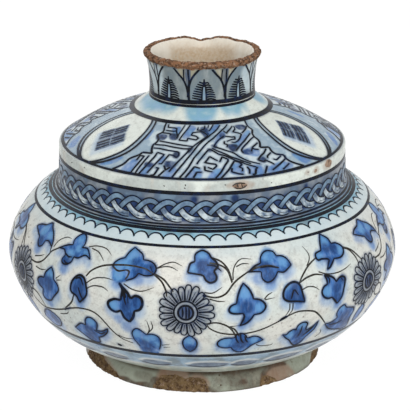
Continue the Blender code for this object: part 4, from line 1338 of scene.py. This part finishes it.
HOOKS = [
    # upper left of the panel
    [(-25.9, 37.8), (-24.4, 35.4), (-20.1, 35.6), (-17.9, 35.2), (-17, 32.6), (-15.4, 29.6)], [(-24.4, 32.8),
     (-19, 32.7), (-17.6, 33.2)], [(-25.6, 30.7), (-20.4, 30.6), (-19.4, 29.4)], [(-13.2, 38.6), (-14, 34.2),
     (-15, 30), (-15.2, 27.4)], [(-9.2, 39), (-10.5, 35), (-12.1, 30.9), (-13.4, 26.2), (-8.7, 25.9),
     (-8.5, 28), (-3.6, 26.9), (-2.2, 28.3), (-3.9, 29.9), (-6.8, 30.5), (-6.2, 32.6), (-3, 33.2),
     (-0.2, 33.6), (1.9, 32.2), (3.4, 30.4)], [(-2.8, 37), (-3.4, 34.8), (-0.8, 34.8), (1.6, 35.8),
     (2, 38.6)], [(4.4, 34), (5.6, 35.2), (7.2, 37.6), (8.6, 39.4)], [(4.2, 36.8), (4.8, 39)],
    # left middle
    [(-24.2, 24.2), (-20.1, 23.9), (-14, 23.1), (-10.2, 22.6), (-5.2, 22)], [(-25.4, 21.3), (-20.1, 21.6),
     (-13.4, 20.6), (-9.4, 20.1), (-6, 20.2), (-7.2, 18), (-8.6, 15.4), (-10.4, 12)], [(-25.1, 18.8),
     (-21.7, 18.9), (-17.4, 18.3), (-12.2, 17.8), (-11.3, 17), (-11.2, 15.2), (-12.1, 13.9), (-13.6, 15.2),
     (-15.8, 15.4), (-16.9, 12), (-17.8, 9), (-19, 9)],
    # lower left
    [(-22, 16.2), (-18.2, 15.2), (-19, 12.6), (-20.1, 9.8), (-21.2, 6.4), (-22.4, 2.6)], [(-21.9, 16.2),
     (-22.3, 12.9), (-23.2, 10), (-24.6, 5), (-25.6, 1.4)], [(-29.8, 9.4), (-29.4, 12.4), (-27.3, 12.6),
     (-27.9, 9), (-28.8, 4), (-29.2, 1.2)], [(-25.2, 13.4), (-26, 9.6), (-27, 4), (-27.2, 1.2)],
    [(-19.6, 6.4), (-18.4, 6.2), (-19.2, 2), (-20.6, 1.4)], [(-15.6, 5.2), (-16.6, 3), (-17.6, 0.9)],
    [(-16.4, 8.2), (-15.2, 5.4), (-13.6, 7.4)],
    # middle of the lower edge
    [(-6.6, 1.6), (-4.1, 6.7), (-3.3, 8.4), (-0.9, 7.4)], [(-3.4, 1.6), (-2.2, 5), (-0.2, 5)], [(6.9, 12.1),
     (5.3, 13.4), (3.5, 15), (1.6, 11.7), (1.1, 11.1), (3.7, 10.3), (5.9, 9.9), (6.2, 8.7), (4.5, 6.7),
     (2.4, 8)], [(1.1, 8.7), (1.1, 6.2), (2.7, 5.6), (4.2, 5.2)], [(7.7, 11.2), (9.3, 14.5), (11.7, 12.8),
     (11.6, 11.6), (9.8, 8.9), (7.7, 4.8), (5.3, 1.4)], [(7.4, 1.2), (9.3, 3.7), (11.2, 6.2), (12.8, 8.9),
     (14.4, 11.4), (16.5, 10.3), (17.3, 8.7), (15.7, 7.3), (17, 6.2), (16.5, 4.5)], [(12.6, 7), (12, 4.7),
     (14.9, 3.1), (16.6, 2.6)], [(19.1, 7), (19.7, 5.1), (19.1, 2.6)], [(20.2, 2), (21.4, 2), (22.6, 5.1),
     (23.6, 6)], [(27.9, 5.9), (26.6, 3.6), (25.5, 1.7)],
    # right side
    [(12.6, 25.4), (12, 23.7), (13.6, 22.8), (13, 21)], [(14.1, 29.2), (16, 28.7), (18.1, 28.1),
     (19.8, 28.2), (19.2, 26.4), (17, 26.3), (14, 25.2)], [(14.3, 33.6), (15.7, 31.4), (17, 32.8),
     (19.7, 34.8), (22.3, 36.9)], [(23.4, 36.6), (22.9, 34.2), (20.2, 32.1), (22.1, 31.4), (23.9, 30.3),
     (24.7, 29.5), (22.1, 26.4), (20.2, 24.8), (18.4, 23.9), (16.5, 24.4)], [(25.8, 18.9), (27.9, 20.1),
     (30.6, 21.6)], [(28.7, 17), (26.6, 17.6), (26, 18.8), (24.4, 16.4)], [(25.5, 10.3), (27.7, 8.7),
     (28.9, 9.8)], [(30.3, 10.6), (30.9, 12), (33.6, 13.6)], [(29, 9.2), (30.6, 7.6), (31.6, 6)],
    [(32.7, 9.4), (33.8, 8.4), (37.2, 10.3)], [(29.4, 3), (34.6, 5.9), (38.4, 8)], [(34, 2.2), (38.6, 4.8)]]

# Blue areas of one panel: middling and deep
PANEL_BLUES = [
    [(-20.5, 35), (-16, 36.4), (-15.4, 30.4), (-18, 31)], [(-9.4, 37.4), (-5, 37), (-6.6, 33), (-7, 30.6),
     (-11, 28.4)], [(10.4, 31), (13.8, 32.4), (13.6, 29.6), (9.4, 26.4), (7, 23.6)], [(16.2, 22),
     (20.2, 24.4), (24.4, 27.8), (30.8, 31.4), (30.4, 29.6), (24, 24.6), (18.2, 19.8)], [(20.2, 17),
     (24.4, 18.6), (28, 16.6), (26.4, 13.4), (23, 14.6)], [(13, 8.4), (16.8, 9), (16.4, 3.4), (12.4, 4)],
    [(29.4, 5), (36, 6.4), (39, 3), (28, 1.6)], [(19.6, 6.6), (24.6, 6.6), (24.6, 1.8), (20, 2)],
    [(-24.4, 7.4), (-22.2, 7), (-23, 1.6), (-25.2, 1.8)], [(5.6, 6.4), (8, 5.6), (6, 1.2), (2.6, 1.4)],
    [(-4, 7), (-1, 6.4), (-1.2, 1.4), (-6, 1.4)], [(-13.8, 6.2), (-11.2, 6.2), (-12.6, 1.4), (-15.4, 1.4)],
    [(-31.6, 8.4), (-29.4, 9), (-30, 1.4), (-33.6, 2)], [(-19, 13.6), (-17.4, 13), (-18.4, 10), (-19.4, 10)],
    [(4, 34), (10, 38.6), (12.4, 38.6), (5, 31.6)], [(-34, 31), (-32.6, 30), (-32.4, 25), (-34, 24)],
    [(-41, 8), (-37.6, 9), (-41, 4), (-45, 2.6)], [(44, 9), (47, 8.4), (50, 4), (46, 3)]]

PANEL_DEEPS = [
    [(-20, 30.6), (-15.2, 30), (-15, 27), (-17.6, 26.4), (-19.6, 28)], [(-27.4, 28.6), (-22.2, 28.9),
     (-22.2, 26), (-26.2, 25.4)], [(-1, 34.4), (3, 33.4), (4.2, 30.4), (2.6, 28.6), (0.6, 31)], [(-1, 36.4),
     (1.4, 37.6), (3.4, 36.4), (3, 33.4)], [(14, 22.4), (18.4, 22), (17.6, 19), (15, 18)], [(20.4, 17.4),
     (24, 18), (24.4, 15.6), (21, 15.4)], [(25, 36.8), (31, 36.4), (30.4, 33.9), (25.8, 33.6)], [(-16, 10.8),
     (-11.8, 10.2), (-12.2, 7.7), (-15.6, 7.8)], [(-6.9, 20.6), (-5, 20.6), (-6.6, 17.8)], [(5.2, 22.8),
     (7.4, 22.6), (6.6, 20.8)], [(3, 20.2), (4.6, 20), (4, 18.4)], [(11.4, 30.8), (13.6, 31), (13.4, 28.8),
     (11.4, 28)], [(-24.6, 8.9), (-21.6, 8.4), (-22.4, 6.8), (-24.6, 7.2)], [(-13.4, 17), (-11.6, 17),
     (-11.6, 14), (-13.4, 14.4)], [(25.6, 10.6), (28.4, 11.6), (29, 9.6), (27.4, 8.6)]]

# One medallion and the frame round it
MEDALLION = [
    (2, 0.8, C), (5, 3), (9, 7.4), (12.6, 13), (14.6, 20), (14.8, 29), (12.8, 36), (9.6, 40.2, C),
    (-10.2, 40.2, C), (-13.4, 36), (-15.4, 29), (-15.2, 20), (-13, 12.4), (-9, 6.6), (-5, 2.6), (-2, 0.8, C)]
MEDALLION_FRAME = [
    (4, 0.8, C), (8.6, 4.2), (12.4, 8.6), (15.6, 14), (17.3, 21), (17.4, 30), (15.7, 36), (13, 40.2, C),
    (-13.6, 40.2, C), (-16.4, 36), (-18, 29.4), (-17.8, 20), (-15.8, 12.6), (-12, 7), (-8.2, 3.6),
    (-4, 0.8, C)]

# Angle, height, half width and half height of the chips in the lip, which lies below the cone's edge line,
# and of the stains round them
LIP_CHIPS = (
    (14.2, -3.6, 2.6, 1.3), (49.6, -3.6, 0.5, 0.5), (58.6, -2.8, 2.4, 1.7), (120, -3, 2.4, 1.4),
    (-140, -4, 1.8, 1.2))
LIP_STAINS = (
    (14.6, -3.4, 5.0, 1.8), (58, -3.2, 3.2, 2.4), (49.8, -3.4, 1.4, 1.4), (44.6, -3, 0.8, 0.8),
    (121, -3, 4, 2.4), (-139, -4, 3, 2))

# Greyer stretches of the lip, and small dark pits
LIP_GRIME = [
    [(-34, -7), (-30, -3), (-22, -1), (-8, -1), (-4, -4), (-10, -7)], [(-76, -7), (-72, -1), (-58, -2),
     (-54, -7)], [(2, -6), (8, -2), (22, -2), (24, -6)], [(110, -7), (116, -1), (150, -2), (158, -7)]]
LIP_PITS = [
    [(-6.4, -2.4), (-6.2, -3.2)], [(-6.8, -4), (-6.3, -4.6)], [(8.4, -2.6), (9, -2.9)], [(-14.6, -3.4),
     (-14.3, -4)], [(-62.6, -3.8), (-61.6, -3.2)], [(27, -3.8), (27.4, -4.2)], [(-52.6, -2.6), (-51.8, -3)],
    [(44.6, -2.8), (45.4, -3)], [(11.6, -3.4), (12.6, -2.5), (14.4, -2.3), (16.4, -2.8)], [(12.2, -4.4),
     (13.6, -5), (15.6, -4.8), (16.9, -3.7)], [(13.4, -2.8), (13.6, -4.4)], [(15, -2.8), (15.3, -4.4)]]


def diamonds(places):
    """The diamonds of some medallions, each of four small ones."""
    made = []
    for angle, width, height, scale in places:
        for across, up in ((0, 5.5), (-4.8, 0.2), (4.8, -0.2), (0, -5.5)):
            x = angle + scale * across
            y = height + scale * up
            wide = 4.3 * scale
            tall = 4.8 * scale
            made.append([(x, y + tall, C), (x + wide, y, C), (x, y - tall, C), (x - wide, y, C)])
    return made


def cone_grey_bands():
    """The grey-blue between panels and medallions, as one wash that the medallions leave open."""
    right = [p for p in MEDALLION if p[0] > 0]
    left = [p for p in MEDALLION if p[0] <= 0]
    bands = []
    for first, second in zip(MEDALLIONS, MEDALLIONS[1:] + MEDALLIONS[:1]):
        turn = 360.0 if second[0] < first[0] else 0.0
        band = shifted(right, *first[:2]) + shifted(left, second[0] + turn, second[1])
        bands += [band, shifted(band, -360.0)]
    return shapes(plain=bands)


def ring_smudges():
    """Turquoise that ran down the plain ring under the neck."""
    runs = []
    for first, last, low in RING_SMUDGES:
        middle = (first + last) / 2
        side = (last - first) / 4
        runs.append([(first, 54), (first + 2, 49), (middle - side, low + 1.4), (middle, low),
                     (middle + side, low + 2.6), (last - 2, 49), (last, 54)])
    return shapes(runs)


def lip_chips(places):
    """Chips in the plain lip, or the stains round them."""
    return shapes([[(angle - wide, height), (angle, height + tall), (angle + wide, height),
                    (angle + 0.3 * wide, height - tall)] for angle, height, wide, tall in places])


def cone_lines():
    """Frames of the medallions, the hatching of their diamonds, and the ring lines."""
    drawing = lines(rings=[(40.7, 2.8, 0.15, 0.8, 0.7), (0.4, 1.8, 0.08, 2.0)])
    for angle, width, *rest in MEDALLIONS:
        drawing.outline(shifted(MEDALLION, angle, width), 1.3)
        drawing.outline(shifted(MEDALLION_FRAME, angle, width), 1.35)
    for diamond in diamonds(MEDALLIONS):
        top, right, low, left = (Vector(p[:2]) for p in diamond)
        for share in (0.2, 0.5, 0.8):
            start = left.lerp(low, share)
            end = top.lerp(right, share)
            drawing.stroke([start, (start + end) / 2, end], 1.2 - 0.5 * share, (0.7, 1, 0.7))
    return drawing


def panel_lines():
    """The stepped outline of one fret panel, and the edges of its bands."""
    drawing = lines([(DIAGONALS, 1.0, (0.9, 1, 0.8))])
    drawing.outline(PANEL, 1.25)
    for points in HOOKS:
        drawing.stroke(points, 1.0, (0.9, 1, 0.8), smooth=False)
    return drawing


class VASE_OT_cone(Operator):
    """Turns the cone with its lip and plain ring, and soaks its washes into the glaze"""

    bl_idname = "vase.cone"
    bl_label = "Cone"

    def execute(self, context):
        size = context.scene.vase_sizes
        lip = lip_face(size)
        outer = lip + cone_face(size)[1:]
        seat = outer[-1] - spot(NECK_WALL, 0.0)
        low = outer[0] - spot(CONE_WALL, 0.0)
        under = [p for p in inward(cone_face(size), CONE_WALL)[4::9] if seat.x < p.x < low.x and p.y > low.y]
        blocks = shapes(diamonds(MEDALLIONS + BACK_MEDALLION))
        panels = PANEL_REPEATS
        washes = [
            Wash("smudge", ring_smudges(), 7.0, "turquoise", "cobalt_thin", 0.95, 0.55, 130.0),
            Wash("grime", shapes(LIP_GRIME), 2.6, "slate", "stain", 0.38, 0.8, 150.0),
            Wash("grey", cone_grey_bands(), 0.6, "lavender", "haze", 0.9, 0.8, 110.0),
            Wash("panel", shapes([PANEL]), 0.5, "strand", "lavender", 0.95, 0.75, 110.0, panels),
            Wash("mid", shapes(PANEL_BLUES), 1.4, "cobalt", "cerulean", 0.8, 0.8, 200.0, panels),
            Wash("deep", shapes(PANEL_DEEPS), 1.2, "cobalt_deep", "line", 0.97, 0.8, 200.0, panels),
            Wash("halo_fret", panel_lines(), 1.6, "dusk", "cobalt_deep", 0.75, 0.5, 160.0, panels),
            Wash("halo_frame", cone_lines(), 2.0, "dusk", "cobalt_deep", 0.75, 0.5, 110.0),
            Wash("bleed", blocks, 3.0, "cobalt_thin", "cobalt", 0.5, 0.4, 160.0, drop=2.0),
            Wash("diamond", blocks, 0.8, "dusk", "cobalt_deep", 1.0, 0.8, 420.0),
            Wash("chip_stain", lip_chips(LIP_STAINS), 1.4, "stain", "clay_dark", 0.5, 0.2, 300.0),
            Wash("chips", lip_chips(LIP_CHIPS), 0.8)]
        profile = [*outer, seat, *under[::-1], low, outer[0]]
        turned_piece(CONE, profile, length_of(lip), washes, [("chips", 0.6, 400.0, 0.0)], bare="chips",
                     specks=0.5, ground="milk", cool="milk", clay="stain")
        return {"FINISHED"}


class VASE_OT_cone_fret(Operator):
    """Brushes the fret panels, the medallions, the border lines and the lip's pits on the cone"""

    bl_idname = "vase.cone_fret"
    bl_label = "Cone fret"

    def execute(self, context):
        face = cone_face(context.scene.vase_sizes)
        lip = lip_face(context.scene.vase_sizes)
        drop = length_of(lip) / MM
        pits = lines([([[(angle, height + drop) for angle, height in points] for points in LIP_PITS], 0.6,
                       (0.7, 1.0, 0.7))])
        brushed_piece(CONE, "panel_lines", panel_lines(), face, outline_pigment(), PANEL_REPEATS, lift=0.1)
        brushed_piece(CONE, "cone_lines", cone_lines(), face, outline_pigment(), lift=0.11)
        brushed_piece(CONE, "lip_pits", pits, lip, stem_pigment(), lift=0.05, step=0.3)
        return {"FINISHED"}


# Neck

LAPPETS = 9
BREAK_FOOT = 20.2
TREE_STROKES = 8
FIRST_LAPPET = -15.0
TREE_ANGLE = FIRST_LAPPET + 17.0

# First and last angle, and depth, of the low places of the broken edge
RIM_DIPS = ((172, 182, 1.2), (-178, -169, 0.8), (138, 141, 0.5))

# The beige wedge between two lappets, the dark blade in it, and the paler trunk of one tree
SPANDREL = [(0, 12.2, C), (6, 16.2), (12.4, 22, C), (-13.4, 22, C), (-8, 16.4)]
LANCE = [
    (-0.6, 4.6, C), (0.8, 4.6, C), (1, 11), (2.6, 15), (2.8, 22, C), (-2.8, 22, C), (-2.6, 15), (-1, 11)]
TRUNK = [(-1.7, 3), (1.7, 3), (1.2, 8), (0, 10.8), (-1.2, 8)]


def broken_zone(crest):
    """Bare clay: the break, up to its crest, and a ragged strip below it."""
    low = []
    for angle in range(-180, 181):
        wave = 0.3 * math.sin(7 * angle * DEGREE) + 0.3 * math.sin(19 * angle * DEGREE + 1)
        low.append((angle, BREAK_FOOT + wave + 0.25 * math.sin(43 * angle * DEGREE)))
    return shapes(plain=[low + [(angle, crest + 0.7) for angle in range(180, -181, -10)]])


def rim_dip(first, last, crest):
    """A low place of the broken edge, and its copies a turn away on both sides."""
    low = BREAK_FOOT + 3
    dip = [(first, low), (last, low), (last, crest + 3), (first, crest + 3)]
    return shapes(plain=[shifted(dip, turn) for turn in (0, -360, 360)])


def lappet_lines():
    """Arches and blades between two lappets."""
    top = BREAK_FOOT - 0.4
    strokes = (
        (1.1, (1, 1, 1), [(1, 3.6), (0.6, 7), (1, 10.4), (3.4, 14.2), (7, 17), (12, top)]),
        (1.1, (1, 1, 1), [(0.6, 3.6), (-0.8, 8), (-2.6, 11.4), (-5.6, 14.4), (-10, 16.8), (-15, top)]),
        (1.6, (1, 1, 0.5), [(-0.2, 5), (0.4, 9), (0.4, 11.6)]),
        (0.9, (0.8, 1, 1), [(0.6, 10), (1, 14), (0.6, 17), (0.6, top)]),
        (0.7, (0.6, 1, 1), [(-4, 13), (-4.4, 16), (-4, top)]))
    return lines([([shifted(points, FIRST_LAPPET)], width, taper) for width, taper, points in strokes])


def tree_lines():
    """The comb-stroked tree in one lappet."""
    drawing = Drawing()
    for step in range(TREE_STROKES):
        share = step / TREE_STROKES
        height = 4.4 + 9.6 * share
        reach = 9.6 * (1 - share**1.7) + 2.4
        for side in (-1, 1):
            comb = [(side * 2.2 * (1 - share), height - 0.3), (side * (0.5 * reach + 1.2), height + 0.1),
                    (side * (reach + 1.0), height - 0.5 * side)]
            drawing.stroke(shifted(comb, TREE_ANGLE), 0.9, (1.2, 1, 0.6))
    for side in (-1, 1):
        trunk = [(side * 2.3, 3.2), (side * 2, 8), (side * 0.8, 13)]
        drawing.stroke(shifted(trunk, TREE_ANGLE), 0.8, (1, 1, 0.6))
    drawing.stroke([(TREE_ANGLE, 10.6), (TREE_ANGLE, 14.8)], 1.7, (1, 1, 0.4))
    return drawing


class VASE_OT_neck(Operator):
    """Turns the neck with its broken edge, and soaks its washes into the glaze"""

    bl_idname = "vase.neck"
    bl_label = "Neck"

    def execute(self, context):
        size = context.scene.vase_sizes
        outer = neck_face(size)
        inner_edge = spot(size.mouth_radius - NECK_WALL, size.mouth_height - BREAK_SLOPE * 0.25)
        bore = [p - spot(NECK_WALL, 0.0) for p in outer[:34:3]]
        crest = length_of(outer) / MM
        # Painted highlights on the mouth's inner sides, and whiter glaze in a band just under the rim
        glints = [(angle, crest + 6, 2.0) for angle in (-126, -114, -102, -90, 90, 102, 114, 126)]
        # Painted sheen: paler blue spots on the neck's left and right sides, where the glaze shows a
        # reflection
        side_sheen = [(angle, height, 1.5) for angle in (-68, -60, -52, 52, 60, 68) for height in (8, 12, 16)]
        wedge, blade = (shapes([shifted(points, FIRST_LAPPET)]) for points in (SPANDREL, LANCE))
        trunk = shapes([shifted(TRUNK, TREE_ANGLE)])
        inside = shapes(bands=[(crest + 0.5, crest + 60.0)])
        white = shapes(spots=glints, bands=[(crest + 0.5, crest + 1.4)])
        washes = [
            Wash("ground", shapes(bands=[(2.2, 22.0)]), 0.5, "slate", "lavender", 0.95, 0.35, 110.0),
            Wash("straw", wedge, 0.5, "straw", "ground", 0.9, 0.3, 220.0, LAPPETS),
            Wash("lance", blade, 0.4, "dusk", "cobalt_deep", 0.9, 0.5, 260.0, LAPPETS),
            Wash("trunk", trunk, 0.3, "lavender", "strand", 0.8, 0.4, 260.0, LAPPETS),
            # The thin wash is the painted sheen on the neck's sides
            Wash("thin", shapes(spots=side_sheen), 3.6, "haze", "lavender", 0.9, 0.4, 160.0),
            Wash("halo", lappet_lines(), 1.2, "dusk", "cobalt_deep", 0.5, 0.3, 200.0, LAPPETS),
            Wash("inside", inside, 0.6, "cream", "clay", 1.0, 0.2, 700.0),
            Wash("glint", white, 7.5, "mouth_white_and_highlight", "cream", 0.95, 0.2, 120.0),
            Wash("bare", broken_zone(crest), 0.7)]
        wear = [("bare", 2.2, 420.0, 0.0)]
        for number, (first, last, depth) in enumerate(RIM_DIPS):
            label = f"dip_{number}"
            washes.append(Wash(label, rim_dip(first, last, crest), 4.6))
            wear.append((label, 0.0, 100.0, depth))
        profile = outer + line_points(outer[-1], inner_edge, 4)[1:] + bore[::-1] + [outer[0]]
        turned_piece(NECK, profile, 0.0, washes, wear, bare="bare", grit=1.3, grain=520.0)
        return {"FINISHED"}


class VASE_OT_neck_lines(Operator):
    """Brushes the lappets, the trees and the base lines on the neck"""

    bl_idname = "vase.neck_lines"
    bl_label = "Neck lines"

    def execute(self, context):
        face = neck_face(context.scene.vase_sizes)
        dark = outline_pigment()
        rings = lines(rings=[(2.7, 2.2, 0.06, 0.5), (0.4, 1.9, 0.05, 1.7)])
        brushed_piece(NECK, "lappet_lines", lappet_lines(), face, dark, LAPPETS, step=0.4)
        brushed_piece(NECK, "tree_lines", tree_lines(), face, dark, LAPPETS, step=0.4)
        brushed_piece(NECK, "neck_rings", rings, face, dark, lift=0.06, step=1.0)
        return {"FINISHED"}


# Stage

CAMERA_DISTANCE = 1.00126
CAMERA_HEIGHT = 0.41715
CAMERA_TILT = 0.326929
FOCAL_PIXELS = 2058.69
IMAGE_WIDTH = 410
IMAGE_HEIGHT = 411
AXIS_PIXEL = 202.2
SENSOR = 36.0

# How far the floor reaches, how much of it shines by itself and how brightly, and how much the room lights
FLOOR_REACH = 6.0
FLOOR_GLOW = 0.94
GLOW_STRENGTH = 1.04
ROOM_LIGHT = 0.4
WHITE = (1.0, 1.0, 1.0, 1.0)
PALE = (0.9, 0.9, 0.9, 1.0)

# Name, place, size and power of each light, and the place that they look at
LIGHTS = (("key", (-0.1, -1.2, 1.3), 1.2, 14.5), ("fill", (0.8, -1.1, 0.6), 1.3, 7.0),
          ("back", (-0.4, 1.3, 1.1), 1.3, 7.0))
LIGHT_TARGET = Vector((0.0, 0.0, 0.08))


def stage_camera():
    """The camera at the photograph's viewing angle."""
    data = bpy.data.cameras.new("camera")
    data.sensor_fit = "VERTICAL"
    data.sensor_height = SENSOR
    data.lens = FOCAL_PIXELS / IMAGE_HEIGHT * SENSOR
    data.shift_x = (IMAGE_WIDTH / 2 - AXIS_PIXEL) / IMAGE_HEIGHT
    data.clip_start = 0.05
    camera = linked_object("camera", data)
    camera.location = (0.0, -CAMERA_DISTANCE, CAMERA_HEIGHT)
    camera.rotation_euler = (math.pi / 2 - CAMERA_TILT, 0.0, 0.0)
    bpy.context.scene.camera = camera


def stage_lights():
    """Square soft lights that look at the vase."""
    for name, place, size, power in LIGHTS:
        data = bpy.data.lights.new(name, "AREA")
        data.shape = "SQUARE"
        data.size = size
        data.energy = power
        light = linked_object(name, data)
        light.location = place
        light.rotation_euler = (LIGHT_TARGET - Vector(place)).to_track_quat("-Z", "Y").to_euler()


def seen_share(sketch):
    """1 for rays that see the background: from the camera, a reflection or glass. 0 for light."""
    path = sketch.shade("LightPath", out=None)
    mirrored = sketch.math("MAXIMUM", path["Is Glossy Ray"], path["Is Transmission Ray"])
    return sketch.math("MAXIMUM", path["Is Camera Ray"], mirrored)


def stage_floor():
    """A pale floor that reads as white, apart from the vase's soft shadow."""
    data = bpy.data.meshes.new("floor")
    corners = [(-1, -1), (1, -1), (1, 1), (-1, 1)]
    data.from_pydata([(FLOOR_REACH * x, FLOOR_REACH * y, 0.0) for x, y in corners], [], [(0, 1, 2, 3)])
    finish, sketch, shader = new_material("floor_white")
    for label, value in (("Base Color", PALE), ("Roughness", 0.9), ("Specular IOR Level", 0.1)):
        sketch.feed(shader.inputs[label], value)
    glow = sketch.shade("Emission", {"Color": WHITE, "Strength": GLOW_STRENGTH})
    share = sketch.product(seen_share(sketch), FLOOR_GLOW)
    both = sketch.shade("MixShader", {0: share, 1: shader.outputs[0], 2: glow})
    sketch.feed(finish.node_tree.nodes["Material Output"].inputs["Surface"], both)
    data.materials.append(finish)
    linked_object("floor", data)


def stage_world():
    """A white room that lights the vase evenly."""
    world = bpy.data.worlds.new("white_room")
    world.use_nodes = True
    sketch = Sketch(world.node_tree)
    back = world.node_tree.nodes["Background"]
    sketch.feed(back.inputs["Color"], WHITE)
    strength = sketch.math("MULTIPLY_ADD", seen_share(sketch), 1.0 - ROOM_LIGHT, ROOM_LIGHT)
    sketch.feed(back.inputs["Strength"], strength)
    bpy.context.scene.world = world


class VASE_OT_stage(Operator):
    """Sets the floor, the soft lights and the camera"""

    bl_idname = "vase.stage"
    bl_label = "Stage"

    def execute(self, context):
        stage_camera()
        stage_floor()
        stage_world()
        stage_lights()
        context.scene.view_settings.view_transform = "Standard"
        return {"FINISHED"}


class VASE_PT_panel(Panel):
    """Lists the vase's pieces, sizes and colours"""

    bl_idname = "VASE_PT_panel"
    bl_label = "Painted Vase"
    bl_space_type = "VIEW_3D"
    bl_region_type = "UI"
    bl_category = "Vase"

    def draw(self, context):
        for operator in OPERATORS:
            self.layout.operator(operator.bl_idname)
        for group in (context.scene.vase_sizes, context.scene.vase_colours):
            for name in type(group).__annotations__:
                self.layout.prop(group, name)


OPERATORS = (VASE_OT_foot, VASE_OT_belly, VASE_OT_collar, VASE_OT_cone, VASE_OT_neck, VASE_OT_belly_lines,
             VASE_OT_collar_braid, VASE_OT_cone_fret, VASE_OT_neck_lines, VASE_OT_stage)
CLASSES = (VaseSizes, VaseColours, *OPERATORS, VASE_PT_panel)


def register():
    for item in CLASSES:
        bpy.utils.register_class(item)
    bpy.types.Scene.vase_sizes = bpy.props.PointerProperty(type=VaseSizes)
    bpy.types.Scene.vase_colours = bpy.props.PointerProperty(type=VaseColours)


def unregister():
    del bpy.types.Scene.vase_colours
    del bpy.types.Scene.vase_sizes
    for item in reversed(CLASSES):
        bpy.utils.unregister_class(item)


def main():
    """Makes every piece in order."""
    register()
    for operator in OPERATORS:
        space, name = operator.bl_idname.split(".")
        getattr(getattr(bpy.ops, space), name)()


if __name__ == "__main__":
    main()
